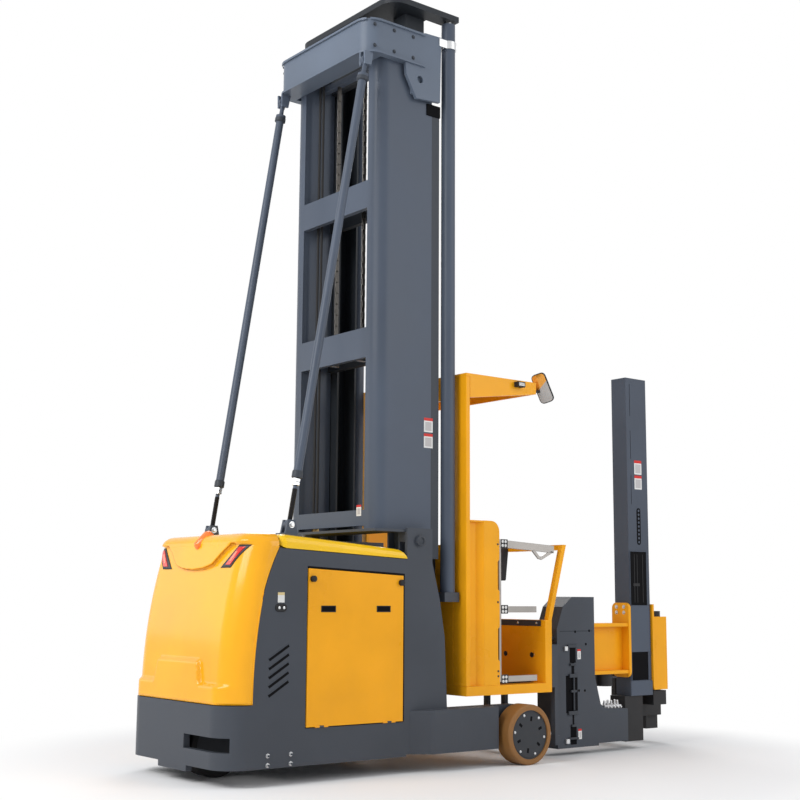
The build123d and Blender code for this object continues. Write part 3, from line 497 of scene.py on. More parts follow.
def seamX(z):
    share = (min(z, hood["top"]) - hood["foot"]) / (hood["top"] - hood["foot"])
    return hood["seamFoot"] + hood["seamLean"] * min(1, share * 1.092) ** hood["seamBulge"]


def soft(value, start, end):
    share = max(0.0, min(1.0, (value - start) / (end - start)))
    return share * share * (3 - 2 * share)


def visorFoot(away):
    # height of the visor's lower edge, that far from the middle
    table = hood["visorEdge"]
    for (y0, z0), (y1, z1) in zip(table, table[1:]):
        if away <= y1:
            return z0 + (z1 - z0) * (away - y0) / (y1 - y0)
    return table[-1][1]


def hoodSwell(y, z):
    # how far the hood stands out to the rear there
    away = abs(y)
    step = soft(away, hood["ledgeHalf"], hood["ledgeHalf"] + hood["ledgeStep"])
    ledgeTop = hood["ledgeMiddle"] + (hood["ledgeSide"] - hood["ledgeMiddle"]) * step
    band = (1 - soft(z, ledgeTop - hood["ledge"], ledgeTop)) * (1 - soft(away, *hood["ledgeEnds"]))
    edge = visorFoot(away)
    visor = soft(z, edge - hood["visorStep"], edge) * (1 - soft(away, *hood["visorEnds"]))
    return hood["ledge"] * band + hood["visor"] * visor


def hoodRows():
    # each row has its height, how far it is drawn in, and how far it is closed over the top
    rows = []
    for low, high, count in hood["rows"]:
        rows += [(low + (high - low) * i / count, 0.0, 0.0) for i in range(count)]
    radius = hood["top"] - hood["shoulderFoot"]
    for i in range(hood["shoulderRows"] + 1):
        angle = math.pi / 2 * i / hood["shoulderRows"]
        rows.append((hood["shoulderFoot"] + radius * math.sin(angle), radius * (1 - math.cos(angle)), 0.0))
    return rows + [(hood["top"], radius, i / 4) for i in range(1, 5)]


def hoodOutline(share, rear, front, halfWidth, corner):
    # a point of the hood's outline at one height, from the right seam round the tail to the left seam
    side = 1 if share > 0.5 else -1
    share = min(share, 1 - share)
    sideShare, cornerShare = hood["sideShare"], hood["cornerShare"]
    if share < sideShare:
        return rear + corner + (front - rear - corner) * (1 - share / sideShare), side * halfWidth
    if share < cornerShare:
        angle = math.pi / 2 * (share - sideShare) / (cornerShare - sideShare)
        return rear + corner * (1 - math.sin(angle)), side * (halfWidth - corner * (1 - math.cos(angle)))
    return rear, side * (halfWidth - corner) * (0.5 - share) / (0.5 - cornerShare)


def makeHood():
    rows = hoodRows()
    piece = addGrid(hood["columns"], len(rows) - 1)
    for vertex in piece.data.vertices:
        z, inset, closing = rows[round((vertex.co.y + 0.5) * (len(rows) - 1))]
        rear, front = tailX(min(z, hood["shoulderFoot"])) + inset, seamX(z)
        halfWidth, corner = hood["halfWidth"] - inset, hood["corner"] - inset * 0.6
        x, y = hoodOutline(vertex.co.x + 0.5, rear, front, halfWidth, corner)
        x -= hoodSwell(y, z) * soft(front - x, 0.02, 0.10)
        vertex.co = (max(x, hood["rearLimit"]), y * (1 - closing), z)
    editAll(bpy.ops.mesh.remove_doubles, threshold=0.00005)
    editAll(bpy.ops.mesh.normals_make_consistent, inside=False)
    shell = piece.modifiers.new("wall", "SOLIDIFY")
    shell.thickness = hood["wall"]
    shell.offset = -1
    bpy.ops.object.modifier_apply(modifier="wall")
    finishPiece(piece, "hoodCover", "hoodPaint", "chassis", smooth=True)
    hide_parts("rear_hood")


# Deck behind the hood: it slopes to the front, with a broad bevel down each side
deck = {
    "rear": -1.642, "front": -0.730, "wallFront": -0.700, "rearTop": 1.419, "frontTop": 1.352,
    "rearFoot": 1.337, "frontFoot": 1.294, "noseTop": 1.300, "halfWidth": 0.575, "bevel": 0.046,
}


def makeDeck(setup):
    rear, front, wallFront, halfWidth = (setup[name] for name in ("rear", "front", "wallFront", "halfWidth"))
    outline = [(rear, setup["rearFoot"]), (rear, setup["rearTop"]), (front, setup["frontTop"]),
               (wallFront, setup["noseTop"]), (wallFront, setup["frontFoot"])]
    piece = addPlate(outline, "Y", -halfWidth, halfWidth, 0)
    bpy.ops.object.mode_set(mode="EDIT")
    bpy.ops.mesh.select_all(action="DESELECT")
    bpy.ops.object.mode_set(mode="OBJECT")
    for edge in piece.data.edges:
        ends = [piece.data.vertices[i].co for i in edge.vertices]
        onSide = all(abs(abs(end.y) - halfWidth) < 0.001 for end in ends) and ends[0].y * ends[1].y > 0
        edge.select = onSide and all(end.z > setup["noseTop"] + 0.02 for end in ends)
    bpy.ops.object.mode_set(mode="EDIT")
    bpy.ops.mesh.select_mode(type="EDGE")
    bpy.ops.mesh.bevel(offset=setup["bevel"], segments=3, affect="EDGES")
    bpy.ops.object.mode_set(mode="OBJECT")
    # the deck is painted a yellower amber than the hood, as a painted highlight
    finishPiece(piece, "deckPanel", "deckAmberPaintedHighlight", "chassis")
    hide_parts("deck_cover")


# Seam: wall skins that follow the hood's curved edge, and a black strip of painted shadow in the gap behind it
seam = {
    "top": 1.337, "steps": 24, "wallFoot": (-1.806, 0.472), "wallRise": 0.861, "wallLean": 0.166,
    "skinLead": 0.004, "skinDepth": (0.5752, 0.563), "shadowSpan": (-0.02, 0.03), "shadowDepth": (0.569, 0.562),
}


def makeSeams(setup):
    foot, steps = hood["foot"], setup["steps"]
    levels = [foot + (setup["top"] - foot) * i / steps for i in range(steps + 1)]
    footX, footZ = setup["wallFoot"]
    lead, (rear, front) = setup["skinLead"], setup["shadowSpan"]
    skin = [(seamX(z) + lead, z) for z in levels]
    for z in reversed(levels):
        wall = footX + (z - footZ) / setup["wallRise"] * setup["wallLean"]
        skin.append((max(wall, seamX(z) + lead + 0.001), z))
    shadow = [(seamX(z) + rear, z) for z in levels] + [(seamX(z) + front, z) for z in reversed(levels)]
    for side, label in sides:
        for name, finish, outline, depth in (("seamSkin", "truckGrey", skin, setup["skinDepth"]),
                                             ("seamShadow", "blackRubber", shadow, setup["shadowDepth"])):
            low, high = across(side, *depth)
            finishPiece(addPlate(outline, "Y", low, high, 0), name + label, finish, "chassis")


# Skins on the tail: a strip of painted shade under the visor's edge, and the lamps
def tailPoint(y, z, out):
    # a point on the hood's tail, or that far out from it to the rear
    rear = tailX(min(z, hood["shoulderFoot"]))
    over = abs(y) - (hood["halfWidth"] - hood["corner"])
    if over > 0:
        rear += hood["corner"] - math.sqrt(max(0, hood["corner"] ** 2 - over ** 2))
    return Vector((rear - hoodSwell(y, z) - out, y, z))


def addTailSkin(columns, rows, place, out, thick):
    # place turns shares of the skin's width and height into (y, z)
    piece = addGrid(columns, rows)
    for vertex in piece.data.vertices:
        vertex.co = tailPoint(*place(vertex.co.x + 0.5, vertex.co.y + 0.5), out - thick)
    return pulled(piece, (-thick, 0, 0))


visorShadeStrip = {"half": 0.40, "drop": 0.0105, "rise": 0.0015, "out": 0.0006, "thick": 0.002}


def makeVisorShadeStrip(setup):
    def place(u, v):
        y = (u - 0.5) * 2 * setup["half"]
        return y, visorFoot(abs(y)) - setup["drop"] + v * (setup["drop"] - setup["rise"])

    # a thin strip in shaded amber just under the visor's edge: painted shade
    piece = addTailSkin(120, 3, place, setup["out"], setup["thick"])
    finishPiece(piece, "visorShadeStrip", "shadedAmber", "chassis")


tailLamps = [
    # name, finish, how far out, how thick, the Y of its foot's ends, its foot, the Y of its top's ends, its top
    ("lampRim", "blackPlastic", 0.0030, 0.006, (-0.292, -0.404), 1.219, (-0.438, -0.520), 1.350),
    ("lampBowl", "greyCase", 0.0036, 0.006, (-0.306, -0.402), 1.226, (-0.440, -0.508), 1.343),
    ("lampLens", "redLens", 0.0080, 0.008, (-0.346, -0.398), 1.236, (-0.446, -0.492), 1.338),
    ("lampWindow", "orangeLens", 0.0092, 0.004, (-0.378, -0.400), 1.258, (-0.424, -0.446), 1.312),
]
crestBeacon = {
    "foot": (-1.868, 0, 1.343), "along": (0.10, 0, 0.075),
    "profile": [(0, 0.012), (0.012, 0.028), (0.105, 0.042), (0.130, 0.034), (0.142, 0.010)],
}


def makeTailLamps(table, beacon):
    for side, label in sides:
        for name, finish, out, thick, footEnds, foot, topEnds, top in table:
            footIn, footOut = (Vector((side * y, foot)) for y in footEnds)
            topIn, topOut = (Vector((side * y, top)) for y in topEnds)

            def place(u, v):
                return (footIn * (1 - u) + footOut * u) * (1 - v) + (topIn * (1 - u) + topOut * u) * v

            finishPiece(addTailSkin(12, 10, place, out, thick), name + label, finish, "chassis")
    piece = addTurned(beacon["foot"], beacon["along"], beacon["profile"], 28)
    finishPiece(piece, "crestBeacon", "amberLens", "chassis", smooth=True)


# Side wall: louvres, charging socket, its blank label, and the nuts and studs of the guide plate
wallParts = {
    "louvreCount": 5, "louvreRear": -1.700, "louvreFront": -1.567, "louvreFoot": 0.497, "louvreRise": 0.080,
    "louvrePitch": 0.0505, "louvreHeight": 0.017, "lipHeight": 0.004, "wallY": 0.575,
    "slotLift": (0.0006, 0.0004), "lipLift": (0.0018, 0.0006),      # how far out, and bevel
    "socket": (-1.627, 0.992), "socketHalf": (0.0395, 0.0225), "socketOut": 0.006, "pinApart": 0.016,
    "label": (-1.650, -1.604, 1.022, 1.080), "labelBand": 0.016, "labelThick": 0.0012,
    "guides": [(x, z) for x in (-1.697, -1.542) for z in (0.119, 0.171)],
    "pin": [(0, 0.008), (0.004, 0.008), (0.005, 0.005)],
    "stud": [(0, 0.006), (0.022, 0.006), (0.024, 0.004)],
    "nut": [(0, 0.014), (0.0016, 0.014), (0.0018, 0.011), (0.010, 0.011), (0.011, 0.009)],
}


def makeWallParts(setup):
    wall, height = setup["wallY"], setup["louvreHeight"]
    run, rise = setup["louvreFront"] - setup["louvreRear"], setup["louvreRise"]
    half, turn = math.hypot(run, rise) / 2, (0, -math.atan2(rise, run), 0)
    middle = (setup["louvreFront"] + setup["louvreRear"]) / 2
    for side, label in sides:
        y = -side * (wall + 0.0002)
        slots, lips = [], []
        for i in range(setup["louvreCount"]):
            z = setup["louvreFoot"] + i * setup["louvrePitch"] + rise / 2
            foot, top = z - height / 2, z + height / 2
            for parts, low, high, (lift, bevel) in ((slots, foot, top, setup["slotLift"]),
                                                    (lips, top, top + setup["lipHeight"], setup["lipLift"])):
                block = addBlock((middle - half, y - lift, low), (middle + half, y + lift, high), bevel, turn)
                parts.append(block)
        # the black slot plates are painted shade in the louvres' openings
        finishPiece(slots, "louvreSlotShade" + label, "deepBlack", "chassis")
        finishPiece(lips, "louvreLips" + label, "truckGrey", "chassis")
    x, z = setup["socket"]
    halfX, halfZ = setup["socketHalf"]
    outline = [(x + math.copysign(halfX - halfZ, math.cos(a)) + halfZ * math.cos(a), z + halfZ * math.sin(a))
               for a in (math.tau * (i + 0.5) / 28 for i in range(28))]
    socket = addPlate(outline, "Y", -wall - setup["socketOut"], -wall + 0.002, 0.002)
    finishPiece(socket, "chargeSocket", "blackPlastic", "chassis")
    pins = [addTurned((x + dx, -wall - 0.005, z), (0, -1, 0), setup["pin"], 16)
            for dx in (-setup["pinApart"], setup["pinApart"])]
    finishPiece(pins, "socketPins", "zinc", "chassis")
    rear, front, foot, top = setup["label"]
    band = top - setup["labelBand"]
    for name, finish, low, high in (("wallLabel", "whitePlate", foot, band),
                                    ("wallLabelBand", "creamPlate", band, top)):
        plate = addBlock((rear, -wall - setup["labelThick"], low), (front, -wall, high), 0.0004)
        finishPiece(plate, name, finish, "chassis")
    studs = [addTurned((x, wall, z), (0, 1, 0), setup["stud"], 16) for x, z in setup["guides"]]
    finishPiece(studs, "guideStudsLeft", "zinc", "chassis")
    nuts = [addTurned((x, -side * wall, z), (0, -side, 0), setup["nut"], 6)
            for side in (1, -1) for x, z in setup["guides"]]
    finishPiece(nuts, "guideNuts", "zinc", "chassis")


# Battery doors: quarter-turn latches, sunk handles and a dark strip of painted shadow along the edge of the
# opening
doorParts = {
    "faceY": 0.580, "latches": ((-1.412, 1.160), (-0.753, 1.145)),
    "latch": [(0, 0.0185), (0.0185, 0.0185), (0.0205, 0.016), (0.0206, 0.011), (0.0225, 0.010)],
    "handles": (-1.350, -0.940), "handleWidth": 0.106, "handleFoot": 0.967, "handleTop": 1.005,
    "frame": (0.006, 0.005), "frameOut": 0.0025, "hollowOut": 0.0008, "hollowInset": 0.003,
    "doorShadow": ((-1.446, 1.2275), (-0.727, 1.1945), (-0.727, 0.310)), "doorShadowWidth": 0.0065,
    "doorShadowDepth": (0.5756, 0.5745),
}


def makeDoorParts(setup):
    foot, top = setup["handleFoot"], setup["handleTop"]
    face, inset = setup["faceY"] + 0.0001, setup["hollowInset"]
    for side, label, body in ((1, "Right", "door_right"), (-1, "Left", "door_left")):
        discs = [addTurned((x, -side * face, z), (0, -side, 0), setup["latch"], 28) for x, z in setup["latches"]]
        finishPiece(discs, "doorLatches" + label, "blackPlastic", body)
        frames, hollows = [], []
        for rear in setup["handles"]:
            front = rear + setup["handleWidth"]
            bars = frameBoxes(rear, front, foot, top, *setup["frame"])
            frames += addBoxes(bars, *across(side, face, face + setup["frameOut"]), 0.001)
            hollow = (rear + inset, front - inset, foot + inset, top - inset)
            hollows += addBoxes([hollow], *across(side, face, face + setup["hollowOut"]), 0.0003)
        finishPiece(frames, "handleFrames" + label, "blackPlastic", body)
        # the near-black insets of the handles are painted shade in their recesses
        finishPiece(hollows, "handleHollowShade" + label, "deepBlack", body)
        # a black strip on the wall along the door's top and front edges: painted shadow of the gap
        (x0, z0), (x1, z1), (x2, z2) = setup["doorShadow"]
        wide = setup["doorShadowWidth"]
        outline = [(x0, z0), (x1, z1), (x2, z2), (x2 + wide, z2), (x1 + wide, z1 + wide), (x0, z0 + wide)]
        doorShadow = addPlate(outline, "Y", *across(side, *setup["doorShadowDepth"]), 0)
        finishPiece(doorShadow, "doorPaintedShadow" + label, "deepBlack", "chassis")


makeHood()
makeDeck(deck)
makeSeams(seam)
makeVisorShadeStrip(visorShadeStrip)
makeTailLamps(tailLamps, crestBeacon)
makeWallParts(wallParts)
makeDoorParts(doorParts)
print("stage: hood, side wall and doors")


# Load wheels: a cover disc with slots and bolts on each hub
wheelParts = {
    "axle": (0.205, 0.190), "face": 0.720, "discIn": 0.012,
    "disc": [(0, 0.146), (0.003, 0.146), (0.0045, 0.1435)],
    "count": 6, "slotRadius": 0.100, "slotHalf": (0.015, 0.0085), "slotTurn": 0.35, "slotOut": 0.0006,
    "boltRadius": 0.130, "boltTurn": 0.85, "bolt": (0.0055, 0.0035),
}


def makeWheelParts(setup):
    x, z = setup["axle"]
    halfX, halfZ = setup["slotHalf"]
    for side, label, body in ((1, "Right", "load_wheel_right"), (-1, "Left", "load_wheel_left")):
        out = (0, -side, 0)
        inner = -side * (setup["face"] - setup["discIn"])
        finishPiece(addTurned((x, inner, z), out, setup["disc"], 72), "wheelDisc" + label, "discGrey", body)
        face = inner - side * setup["disc"][-1][0]
        slots, bolts, lift = [], [], setup["slotOut"]
        for i in range(setup["count"]):
            angle, radius = math.tau * (i + setup["slotTurn"]) / setup["count"], setup["slotRadius"]
            cx, cz = x + radius * math.cos(angle), z + radius * math.sin(angle)
            slots.append(addBlock((cx - halfX, face - lift, cz - halfZ), (cx + halfX, face + lift, cz + halfZ),
                                  0.0005, (0, -angle, 0)))
            angle, radius = math.tau * (i + setup["boltTurn"]) / setup["count"], setup["boltRadius"]
            bolts.append((x + radius * math.cos(angle), face, z + radius * math.sin(angle)))
        # the black slot plates are painted shade in the disc's slots
        finishPiece(slots, "discSlotShade" + label, "deepBlack", body)
        finishPiece(addBolts(bolts, out, *setup["bolt"]), "discBolts" + label, "zinc", body)


makeWheelParts(wheelParts)
print("stage: wheels")


# Cab: folded posts with the box column, gates, mirror, lamp, mat and the small things on the walls
cab = {
    "rear": -0.235, "postFront": -0.201, "side": 0.600, "postInner": 0.470, "foot": 0.500, "postTop": 2.495,
    "columnFront": 0.055, "columnTop": 1.556, "recess": 0.032, "skin": 0.036, "chamferRear": -0.129,
    "boxRear": -0.086, "cornerRadius": 0.070, "notches": ((0.650, 0.872), (1.100, 1.306)), "notchDepth": 0.016,
    "notchSlope": 0.014, "cap": (-0.012, -0.001), "panelScrews": (-0.190, (1.515, 1.290, 1.045, 0.790, 0.545)),
    "hingeScrews": (0.038, (1.405, 1.030, 0.590, 0.558)),
    "panelScrew": (0.0050, 0.0035), "hingeScrew": (0.0045, 0.0030),
}


def columnOutline(setup, rear):
    # the column's side face, rounded at its top front corner and notched down its front edge
    front, top, radius = setup["columnFront"], setup["columnTop"], setup["cornerRadius"]
    depth, slope = front - setup["notchDepth"], setup["notchSlope"]
    outline = [(rear, setup["foot"]), (front, setup["foot"])]
    for low, high in setup["notches"]:
        outline += [(front, low), (depth, low + slope), (depth, high - slope), (front, high)]
    for i in range(9):
        angle = math.pi / 2 * i / 8
        outline.append((front - radius * (1 - math.cos(angle)), top - radius * (1 - math.sin(angle))))
    return outline + [(rear, top)]


def makeCabPosts(setup):
    parts = []
    rear, postFront, boxRear, top = (setup[name] for name in ("rear", "postFront", "boxRear", "columnTop"))
    panel = setup["side"] - setup["recess"]
    for side in (1, -1):
        edge, inner, corner = -side * setup["side"], -side * panel, -side * setup["postInner"]
        post = [(rear, edge), (rear, corner), (postFront, corner), (postFront, edge)]
        parts.append(addPlate(post, "Z", setup["foot"], setup["postTop"], 0.003))
        box, skin = columnOutline(setup, boxRear), columnOutline(setup, postFront)
        parts.append(addPlate(box, "Y", *across(side, setup["side"], panel), 0.002))
        parts.append(addPlate(skin, "Y", *across(side, panel, panel - setup["skin"]), 0.001))
        wedge = [(setup["chamferRear"], inner), (boxRear, edge), (boxRear, inner)]
        parts.append(addPlate(wedge, "Z", setup["foot"], top - 0.004, 0))
        cap = [(postFront, edge), (boxRear, edge), (boxRear, inner), (postFront, inner)]
        parts.append(addPlate(cap, "Z", *(top + drop for drop in setup["cap"])))
    piece = finishPiece(parts, "cabColumns", "amberPaint", "cab")
    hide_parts("cab_posts")
    for side, label in sides:
        for name, finish, kind, out in (("columnScrews", "zinc", "panelScrew", panel),
                                        ("hingeScrews", "darkGrey", "hingeScrew", setup["side"])):
            x, heights = setup[kind + "s"]
            places = [(x, -side * out, z) for z in heights]
            finishPiece(addBolts(places, (0, -side, 0), *setup[kind]), name + label, finish, "cab")


gate = {
    "postX": 0.0673, "postY": 0.582, "postRadius": 0.012, "foot": 0.520, "top": 1.440,
    # each bar's height, reach, drop at its tip and half height
    "bars": ((0.537, 0.330, 0.0, 0.020), (0.984, 0.330, 0.0, 0.020), (1.412, 0.500, -0.026, 0.025)),
    "barInner": 0.578, "barOuter": 0.590,
    "hinge": (0.004, 0.066), "hingeHalf": 0.028, "hingeDepth": (0.5945, 0.5712),
    "screwX": (0.020, 0.046), "screwZ": (-0.013, 0.013), "screwY": 0.5944,
    "screw": [(0, 0.010), (0.0010, 0.010), (0.0014, 0.006), (0.0016, 0.003)],
    # the loop handle under the top bar, from the bar's tip
    "loop": ((-0.205, 0.010), (-0.150, -0.042), (-0.118, -0.048), (-0.004, 0.006), (-0.020, 0.014),
             (-0.060, 0.004), (-0.120, -0.026), (-0.138, -0.024), (-0.175, 0.012)),
}


def makeGates(setup):
    post, half = setup["postX"], setup["hingeHalf"]
    for side, label, body, node in ((1, "Right", "gate_right_body", "gate_right"),
                                    (-1, "Left", "gate_left_body", "gate_left")):
        low, high = across(side, setup["barInner"], setup["barOuter"])
        foot = setup["foot"]
        parts = [addRod((post, -side * setup["postY"], foot), setup["postRadius"], setup["top"] - foot, 20)]
        blocks, screws = [], []
        for z, reach, drop, bar in setup["bars"]:
            tip, tipZ = post + reach, z + drop
            outline = [(post, z - bar), (tip, tipZ - bar), (tip, tipZ + bar), (post, z + bar)]
            parts.append(addPlate(outline, "Y", low, high, 0.002))
            rear, front = (post + out for out in setup["hinge"])
            blocks += addBoxes([(rear, front, z - half, z + half)], *across(side, *setup["hingeDepth"]), 0.002)
            screws += [addTurned((post + dx, -side * setup["screwY"], z + dz), (0, -side, 0), setup["screw"], 14)
                       for dx in setup["screwX"] for dz in setup["screwZ"]]
        loop = [(tip + dx, tipZ - bar + dz) for dx, dz in setup["loop"]]
        parts.append(addPlate(loop, "Y", low, high, 0.002))
        piece = finishPiece(parts, "gateBars" + label, "brushed", body)
        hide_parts(node)
        finishPiece(blocks, "gateHinges" + label, "blackPlastic", body)
        finishPiece(screws, "gateHingeScrews" + label, "whitePlate", body)


mirror = {
    "place": (0.456, -0.608, 2.484), "half": (0.052, 0.106), "corner": 0.030, "thick": 0.016, "rim": 0.006,
    "roll": -15, "tilt": -21, "yaw": 27, "glass": (-0.0012, 0.002),
    "stalk": ((0.397, -0.596, 2.450), (0.442, -0.576, 2.468)),
}


def makeMirror(setup):
    halfA, halfB = setup["half"]
    corner, rim, back = setup["corner"], setup["rim"], setup["thick"] / 2
    case = addPlate(roundedOutline(halfA, halfB, corner), "X", -back, back, 0.003)
    outline = roundedOutline(halfA - rim, halfB - rim, corner - rim)
    glass = addPlate(outline, "X", *(step - back for step in setup["glass"]), 0.0006)
    for piece in (case, glass):
        piece.rotation_euler = [math.radians(setup[name]) for name in ("roll", "tilt", "yaw")]
        piece.location = setup["place"]
        joined([piece])
        applyPlace()
    finishPiece([case, addBlock(*setup["stalk"], 0.004)], "mirrorCase", "blackPlastic", "cab")
    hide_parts("cab_mirror")
    finishPiece(glass, "mirrorGlass", "mirrorGlass", "cab")


workLamp = {
    "rim": (0.197, 0.258, 2.467, 2.498), "rimBars": (0.004, 0.0035), "faceY": (-0.6438, -0.6398),
    "ribs": 8, "ribPitch": 0.0066, "rib": (0.2015, 0.2070, 2.471, 2.494), "ribY": -0.6425,
}


def makeLampParts(setup):
    outer, inner = setup["faceY"]
    rim = addBoxes(frameBoxes(*setup["rim"], *setup["rimBars"]), outer, inner, 0.001)
    finishPiece(rim, "workLampRim", "greyCase", "cab")
    rear, front, foot, top = setup["rib"]
    steps = [i * setup["ribPitch"] for i in range(setup["ribs"])]
    ribs = addBoxes([(rear + step, front + step, foot, top) for step in steps], setup["ribY"], inner, 0.0012)
    finishPiece(ribs, "workLampLens", "clearLens", "cab")


cabTrim = {
    "mat": ((-0.165, -0.500, 0.5003), (0.450, 0.500, 0.505)), "matRib": (-0.155, 0.440, 0.504, 0.509),
    "matRibs": 31, "matStart": -0.48, "matPitch": 0.032, "matRibHalf": 0.008,
    "strip": ((0.4625, -0.560, 0.872), (0.4652, 0.560, 0.911)),
    "boltY": (-0.52, -0.34, -0.12, 0.12, 0.34, 0.52), "boltZ": 0.892, "bolt": (0.006, 0.004),
    "plug": [(0, 0.017), (0.0015, 0.017), (0.0020, 0.014), (0.0022, 0.004)],
    "plugX": 0.4649, "plugY": (-0.469, -0.211, 0.211, 0.469), "plugZ": 0.680,
}


def makeCabTrim(setup):
    rear, front, foot, top = setup["matRib"]
    half = setup["matRibHalf"]
    mat = [addBlock(*setup["mat"], 0.002)]
    for i in range(setup["matRibs"]):
        y = setup["matStart"] + setup["matPitch"] * i
        mat.append(addBlock((rear, y - half, foot), (front, y + half, top), 0.002))
    finishPiece(mat, "floorMat", "blackRubber", "cab")
    finishPiece(addBlock(*setup["strip"], 0.0008), "wallTopStrip", "darkGrey", "cab")
    plugs = [addTurned((setup["plugX"], y, setup["plugZ"]), (-1, 0, 0), setup["plug"], 24)
             for y in setup["plugY"]]
    finishPiece(plugs, "wallPlugs", "blackPlastic", "cab")
    places = [(setup["strip"][0][0], y, setup["boltZ"]) for y in setup["boltY"]]
    finishPiece(addBolts(places, (-1, 0, 0), *setup["bolt"]), "stripBolts", "zinc", "cab")


makeCabPosts(cab)
makeGates(gate)
makeMirror(mirror)
makeLampParts(workLamp)
makeCabTrim(cabTrim)
print("stage: cab")


# Mast: side edges, chains, hoses, blank signs, bolts, and the stays' screw ends
# a strip of the mast's front flange, coloured dark grey as painted shade
mastEdgePaintedShade = {
    "y": 0.492, "thick": 0.012, "edge": (-0.447, -0.379, 1.300, 4.330),
    "pad": (-0.493, -0.377, 4.250, 4.330), "padOut": 0.008, "padIn": 0.002,      # the black slide pad at its top
}


def makeMastEdges(setup):
    face = setup["y"]
    for side, label in sides:
        edge = addBoxes([setup["edge"]], *across(side, face, face - setup["thick"]), 0.002)
        # the flange strip is dark grey as painted shade; the mast itself is mast grey
        finishPiece(edge, "mastEdgePaintedShade" + label, "darkGrey", "chassis")
        pad = addBoxes([setup["pad"]], *across(side, face + setup["padOut"], face - setup["padIn"]), 0.002)
        finishPiece(pad, "slidePad" + label, "deepBlack", "chassis")


chain = {
    "x": -0.750, "y": 0.150, "foot": 2.609, "top": 4.594, "pitch": 0.0381, "anchorRear": -0.845,
    # one inner link, two outer links and their pin, from the chain's middle
    "links": (((-0.015, -0.003, 0), (0.015, 0.003, 0.046)), ((-0.012, -0.009, 0.036), (0.012, -0.004, 0.084)),
              ((-0.012, 0.004, 0.036), (0.012, 0.009, 0.084))),
    "pinHalf": 0.012, "pinZ": 0.041, "pinRadius": 0.005,
    "anchorHalf": 0.016, "anchorFront": 0.018, "anchorRise": (-0.020, 0.016),
    "beam": ((-0.775, -0.365, 4.580), (-0.725, 0.365, 4.618)),
}


def makeChains(setup):
    x, foot, pitch = setup["x"], setup["foot"], 2 * setup["pitch"]
    half, (low, high) = setup["anchorHalf"], setup["anchorRise"]
    for side, label in sides:
        y = -side * setup["y"]
        middle = Vector((x, y, 0))
        links = [addBlock(middle + Vector(start), middle + Vector(end), 0.003) for start, end in setup["links"]]
        pin = [(0, setup["pinRadius"]), (2 * setup["pinHalf"], setup["pinRadius"])]
        links.append(addTurned((x, y - setup["pinHalf"], setup["pinZ"]), (0, 1, 0), pin, 8))
        piece = joined(links)
        repeat = piece.modifiers.new("links", "ARRAY")
        repeat.use_relative_offset = False
        repeat.use_constant_offset = True
        repeat.constant_offset_displace = (0, 0, pitch)
        repeat.count = round((setup["top"] - foot) / pitch)
        bpy.ops.object.modifier_apply(modifier="links")
        piece.location.z = foot
        finishPiece(piece, "liftChain" + label, "chainSteel", "chassis")
        anchor = addBlock((setup["anchorRear"], y - half, foot + low),
                          (x + setup["anchorFront"], y + half, foot + high), 0.003)
        finishPiece(anchor, "chainAnchor" + label, "zinc", "chassis")
    finishPiece(addBlock(*setup["beam"], 0.003), "chainBeam", "mastGrey", "chassis")


mastHose = {
    "x": -0.800, "y": (0.270, 0.310), "foot": 1.476, "top": 4.640, "radius": 0.009,
    "end": [(0, 0.015), (0.018, 0.015), (0.0185, 0.012), (0.050, 0.012), (0.0505, 0.014), (0.070, 0.014),
            (0.074, 0.010)],
    "clampRear": -0.8455, "clampZ": (1.550, 2.672, 3.657), "clampHalf": 0.014,
    "clampSide": 0.018, "clampFront": 0.016,
}


def makeMastHoses(setup):
    x, foot, half = setup["x"], setup["foot"], setup["clampHalf"]
    tubes = [addRod((x, y, foot), setup["radius"], setup["top"] - foot, 16) for y in setup["y"]]
    ends = [addTurned((x, y, foot), (0, 0, 1), setup["end"], 6) for y in setup["y"]]
    low, high = setup["y"][0] - setup["clampSide"], setup["y"][1] + setup["clampSide"]
    rear, front = setup["clampRear"], x + setup["clampFront"]
    clamps = addBoxes([(rear, front, z - half, z + half) for z in setup["clampZ"]], low, high, 0.003)
    finishPiece(tubes, "mastHoses", "blackRubber", "chassis")
    finishPiece(ends, "hoseEnds", "brass", "chassis")
    finishPiece(clamps, "hoseClamps", "blackPlastic", "chassis")


signs = [
    # name, body, the axis it faces against, its plane, low corner, high corner
    ("mastSignUpper", "chassis", "Y", -0.492, (-0.503, 2.112), (-0.430, 2.205)),
    ("mastSignLower", "chassis", "Y", -0.492, (-0.503, 2.010), (-0.430, 2.103)),
    ("forkMastSignUpper", "traverse", "Y", -0.475, (1.524, 1.968), (1.602, 2.072)),
    ("forkMastSignLower", "traverse", "Y", -0.475, (1.524, 1.858), (1.602, 1.960)),
    ("mastRearSign", "chassis", "X", -0.883, (-0.336, 1.562), (-0.286, 1.632)),
    ("carriageSignUpper", "traverse", "Y", -0.500, (0.872, 0.642), (0.905, 0.711)),
    ("carriageSignLower", "traverse", "Y", -0.500, (0.872, 0.104), (0.905, 0.173)),
]


def makeSigns(table):
    for name, body, axis, plane, (a0, z0), (a1, z1) in table:
        band = z1 - (z1 - z0) * 0.20
        for part, finish, low, high, lift, inset in (
                ("", "whitePlate", z0, band, 0.0012, 0), ("Band", "redPlate", band, z1, 0.0012, 0),
                ("Field", "palePlate", z0 + 0.010, band - 0.008, 0.0016, 0.010)):
            left, right = a0 + inset, a1 - inset
            if axis == "Y":
                plate = addBlock((left, plane - lift, low), (right, plane, high), 0.0003)
            else:
                plate = addBlock((plane - lift, left, low), (plane, right, high), 0.0003)
            finishPiece(plate, name + part, finish, body)


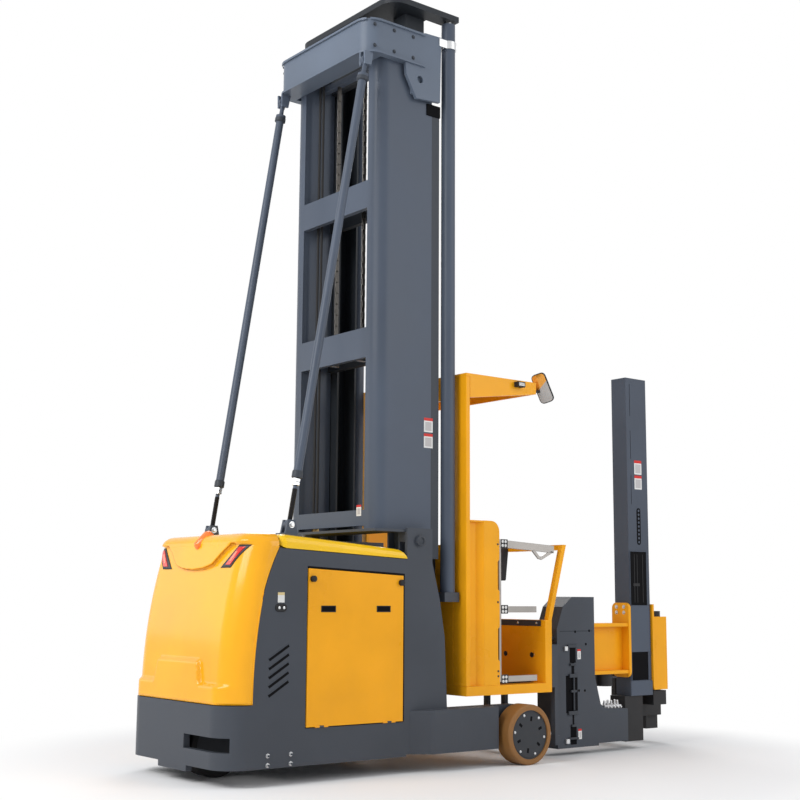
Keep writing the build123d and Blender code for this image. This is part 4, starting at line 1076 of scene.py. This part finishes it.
stay = {
    "foot": (-1.500, 0.449, 1.476), "top": (-1.000, 0.484, 4.500), "boltReach": (0.031, 0.017),
    "bolt": (0.013, 0.010), "threads": 44, "threadStart": 0.045, "threadPitch": 0.005,
    "threadRadii": (0.0140, 0.0158, 0.0138), "threadSteps": (0.0022, 0.0045),
    "nuts": (0.262, 0.240), "nut": [(0, 0.023), (0.002, 0.026), (0.018, 0.026), (0.020, 0.023)],
    "lowRing": (0.284, [(0, 0.028), (0.004, 0.0325), (0.040, 0.0325), (0.046, 0.0285)]),
    "highRing": (0.150, [(0, 0.0285), (0.006, 0.0375), (0.030, 0.0375), (0.036, 0.031)]),
}


def makeStayParts(setup):
    start, pitch = setup["threadStart"], setup["threadPitch"]
    core, crest, root = setup["threadRadii"]
    crestStep, rootStep = setup["threadSteps"]
    thread = [(start, core)]
    for i in range(setup["threads"]):
        thread += [(start + i * pitch + crestStep, crest), (start + i * pitch + rootStep, root)]
    (lowAt, lowRing), (highAt, highRing) = setup["lowRing"], setup["highRing"]
    for side, label in sides:
        foot, top = (Vector((x, -side * y, z)) for x, y, z in (setup["foot"], setup["top"]))
        along = (top - foot).normalized()
        finishPiece(addTurned(foot, along, thread, 16), "stayThread" + label, "blackPaint", "chassis")
        nuts = [addTurned(foot + along * at, along, setup["nut"], 6) for at in setup["nuts"]]
        finishPiece(nuts, "stayNuts" + label, "zinc", "chassis")
        rings = [addTurned(foot + along * lowAt, along, lowRing, 32),
                 addTurned(top - along * highAt, along, highRing, 32)]
        finishPiece(rings, "stayRings" + label, "darkGrey", "chassis")
        heads = [addBolts([place + Vector((0, turn * reach, 0))], (0, turn, 0), *setup["bolt"])
                 for place, reach in zip((foot, top), setup["boltReach"]) for turn in (1, -1)]
        finishPiece(heads, "stayBolts" + label, "zinc", "chassis")


mastTrim = {
    "boss": (-0.603, 0.5870, 1.407),
    "bossRing": [(0, 0.034), (0.006, 0.034), (0.009, 0.030), (0.0095, 0.022), (0.004, 0.020), (0.0045, 0.006)],
    "headBolts": [(x, z) for x in (-0.960, -0.800, -0.640) for z in (4.600, 4.745)],
    "headY": 0.530, "bolt": (0.009, 0.006),
}


def makeMastTrim(setup):
    x, y, z = setup["boss"]
    for side, label in sides:
        out = (0, -side, 0)
        ring = addTurned((x, -side * y, z), out, setup["bossRing"], 36)
        finishPiece(ring, "shoulderBoss" + label, "darkGrey", "chassis")
        places = [(boltX, -side * setup["headY"], boltZ) for boltX, boltZ in setup["headBolts"]]
        finishPiece(addBolts(places, out, *setup["bolt"]), "headBolts" + label, "darkGrey", "chassis")


makeMastEdges(mastEdgePaintedShade)
makeChains(chain)
makeMastHoses(mastHose)
makeSigns(signs)
makeStayParts(stay)
makeMastTrim(mastTrim)
print("stage: mast")


# Fork mast: its side windows with their lips, hole plate, collar, seams and cables
forkMast = {
    "face": -0.475, "windows": ((1.457, 1.632, 0.478, 0.678), (1.457, 1.632, 1.012, 1.400)),
    "lip": (0.004, 0.005), "lipOut": 0.0045, "plateOut": 0.0060, "collarOut": 0.0120, "hollowOut": 0.0010,
    "plate": (1.440, 1.650, 0.682, 1.008), "collar": (1.434, 1.665, 0.370, 0.474),
    "slot": (1.560, 1.450, 1.720, 0.021), "slotHoles": 9,
    "hole": [(0, 0.009), (0.0014, 0.009), (0.0018, 0.006), (0.0006, 0.004)],
    "seamX": 1.487, "seamHalf": 0.0016, "seams": ((1.075, 1.270), (1.745, 1.960), (2.080, 2.290), (2.400, 2.640)),
    "cables": (0.045, 0.075, 0.135), "cableRadius": 0.0035, "cableClip": (1.487, 1.557, 1.150, 1.170),
}


def makeForkMastParts(setup):
    face = setup["face"]
    lipX, lipZ = setup["lip"]
    dark, lips = [], []
    for x0, x1, z0, z1 in setup["windows"]:
        dark += addBoxes([(x0, x1, z0, z1)], face - setup["hollowOut"], face + 0.0005, 0.0003)
        bars = [(x0 - lipX, x1 + lipX, z0 - lipZ, z0), (x0 - lipX, x1 + lipX, z1, z1 + lipZ),
                (x0 - lipZ, x0, z0, z1), (x1, x1 + lipZ, z0, z1)]
        lips += addBoxes(bars, face - setup["lipOut"], face, 0.0010)
    lips += addBoxes([setup["plate"]], face - setup["plateOut"], face, 0.0020)
    lips += addBoxes([setup["collar"]], face - setup["collarOut"], face, 0.0030)
    finishPiece(lips, "forkMastPlates", "mastGrey", "traverse")
    rear, front = setup["seamX"] - setup["seamHalf"], setup["seamX"] + setup["seamHalf"]
    dark += addBoxes([(rear, front, low, high) for low, high in setup["seams"]], face - 0.0006, face + 0.0004, 0)
    x, z0, z1, radius = setup["slot"]
    outline = [(x + a, (z0 + z1) / 2 + b) for a, b in roundedOutline(radius, (z1 - z0) / 2, radius, 8)]
    dark.append(addPlate(outline, "Y", face - 0.0012, face + 0.0004, 0.0004))
    # near-black plates: painted shade in the windows and the slot, and the dark seams of the joints
    finishPiece(dark, "forkMastShadeAndSeams", "deepBlack", "traverse")
    count = setup["slotHoles"]
    heights = [z0 + (z1 - z0) * (i + 0.7) / (count + 0.4) for i in range(count)]
    holes = [addTurned((x, face - setup["hollowOut"], z), (0, -1, 0), setup["hole"], 16) for z in heights]
    finishPiece(holes, "forkMastHoles", "mastGrey", "traverse")
    x0, x1, z0, z1 = setup["windows"][1]
    cables = [addRod((x0 + step, face - 0.0006, z0 + 0.02), setup["cableRadius"], z1 - z0 - 0.04, 10)
              for step in setup["cables"]]
    cables += addBoxes([setup["cableClip"]], face - 0.0040, face, 0.002)
    finishPiece(cables, "forkMastCables", "blackPlastic", "traverse")


# Traverse carriage: pockets, hinges, plugs and rolls on its side, each given as (rear, front, foot, top)
carriage = {
    "face": -0.500,
    "pockets": ((0.797, 0.855, 0.620, 0.731), (0.812, 0.839, 0.534, 0.620), (0.757, 0.870, 0.284, 0.534),
                (0.817, 0.833, 0.199, 0.284), (0.797, 0.855, 0.072, 0.199)),
    "seam": (0.704, 1.026, 0.8328, 0.8352),
    "hinges": ((0.770, 0.862, 0.722, 0.742), (0.792, 0.850, 0.600, 0.616), (0.782, 0.866, 0.520, 0.545),
               (0.797, 0.850, 0.420, 0.436), (0.770, 0.866, 0.270, 0.296), (0.800, 0.846, 0.190, 0.206),
               (0.770, 0.866, 0.106, 0.120)),
    "hingePin": (0.826, 0.300, 0.007, 0.222),      # X, foot, radius, length
    "hingeDepth": (-0.0140, -0.0002), "pocketDepth": (-0.0008, 0.0004), "seamDepth": (-0.0006, 0.0004),
    "holes": ((0.958, 0.744), (0.884, 0.430), (0.942, 0.428), (0.853, 0.830), (0.992, 0.835)),
    "plug": [(0, 0.009), (0.0008, 0.009), (0.0012, 0.007), (0.0013, 0.003)],
    "rollers": ((0.752, 0.701), (0.760, 0.082)),
    "roll": [(0, 0.016), (0.002, 0.019), (0.030, 0.019), (0.032, 0.016)],
}


def makeCarriageParts(setup):
    face = setup["face"]
    dark = addBoxes(setup["pockets"], *(face + out for out in setup["pocketDepth"]), 0.0003)
    dark += addBoxes([setup["seam"]], *(face + out for out in setup["seamDepth"]), 0)
    # near-black plates: painted shade in the pockets, and the dark seam of a joint
    finishPiece(dark, "carriagePocketShadeAndSeam", "deepBlack", "traverse")
    hinges = addBoxes(setup["hinges"], *(face + out for out in setup["hingeDepth"]), 0.0030)
    x, foot, radius, length = setup["hingePin"]
    hinges.append(addRod((x, face - 0.0080, foot), radius, length, 16))
    finishPiece(hinges, "carriageHinges", "darkGrey", "traverse")
    plugs = [addTurned((x, face - 0.0001, z), (0, -1, 0), setup["plug"], 20) for x, z in setup["holes"]]
    finishPiece(plugs, "carriagePlugs", "deepBlack", "traverse")
    rolls = [addTurned((x, face - 0.0030, z), (0, 0, 1), setup["roll"], 28) for x, z in setup["rollers"]]
    finishPiece(rolls, "carriageRolls", "zinc", "traverse")


# Hose manifold on the carriage's foot, the bracket's boss ring and its bolts
manifold = {
    "block": ((1.165, -0.478, 0.286), (1.335, -0.430, 0.318)), "ports": (1.185, 1.220, 1.255, 1.290, 1.318),
    "port": [(0, 0.013), (0.010, 0.013), (0.0105, 0.009)], "portTop": ((0.024, 0.009), (0.030, 0.006)),
    "portMore": 0.004,       # every second port stands that much higher
    "sidePort": [(0, 0.011), (0.008, 0.011), (0.0085, 0.008), (0.016, 0.008)],
    "boss": (1.270, -0.4025, 0.500), "bossRing": [(0, 0.066), (0.004, 0.070), (0.012, 0.070)],
    "portFoot": (-0.454, 0.318), "sideFoot": (-0.478, 0.302),
    "bolts": [(1.4205, y, z) for y in (-0.440, -0.370) for z in (0.960, 1.000)], "bolt": (0.009, 0.006),
}


def makeManifold(setup):
    parts = [addBlock(*setup["block"], 0.004)]
    for i, x in enumerate(setup["ports"]):
        top = [(place + setup["portMore"] * (i % 2), radius) for place, radius in setup["portTop"]]
        parts.append(addTurned((x, *setup["portFoot"]), (0, 0, 1), setup["port"] + top, 6))
        parts.append(addTurned((x, *setup["sideFoot"]), (0, -1, 0), setup["sidePort"], 6))
    finishPiece(parts, "hoseManifold", "steel", "traverse")
    finishPiece(addTurned(setup["boss"], (0, 0, 1), setup["bossRing"], 40), "bossRing", "darkGrey", "traverse")
    bolts = addBolts(setup["bolts"], (-1, 0, 0), *setup["bolt"])
    finishPiece(bolts, "bracketBolts", "zinc", "traverse")


makeForkMastParts(forkMast)
makeCarriageParts(carriage)
makeManifold(manifold)
print("stage: traverse and fork mast")
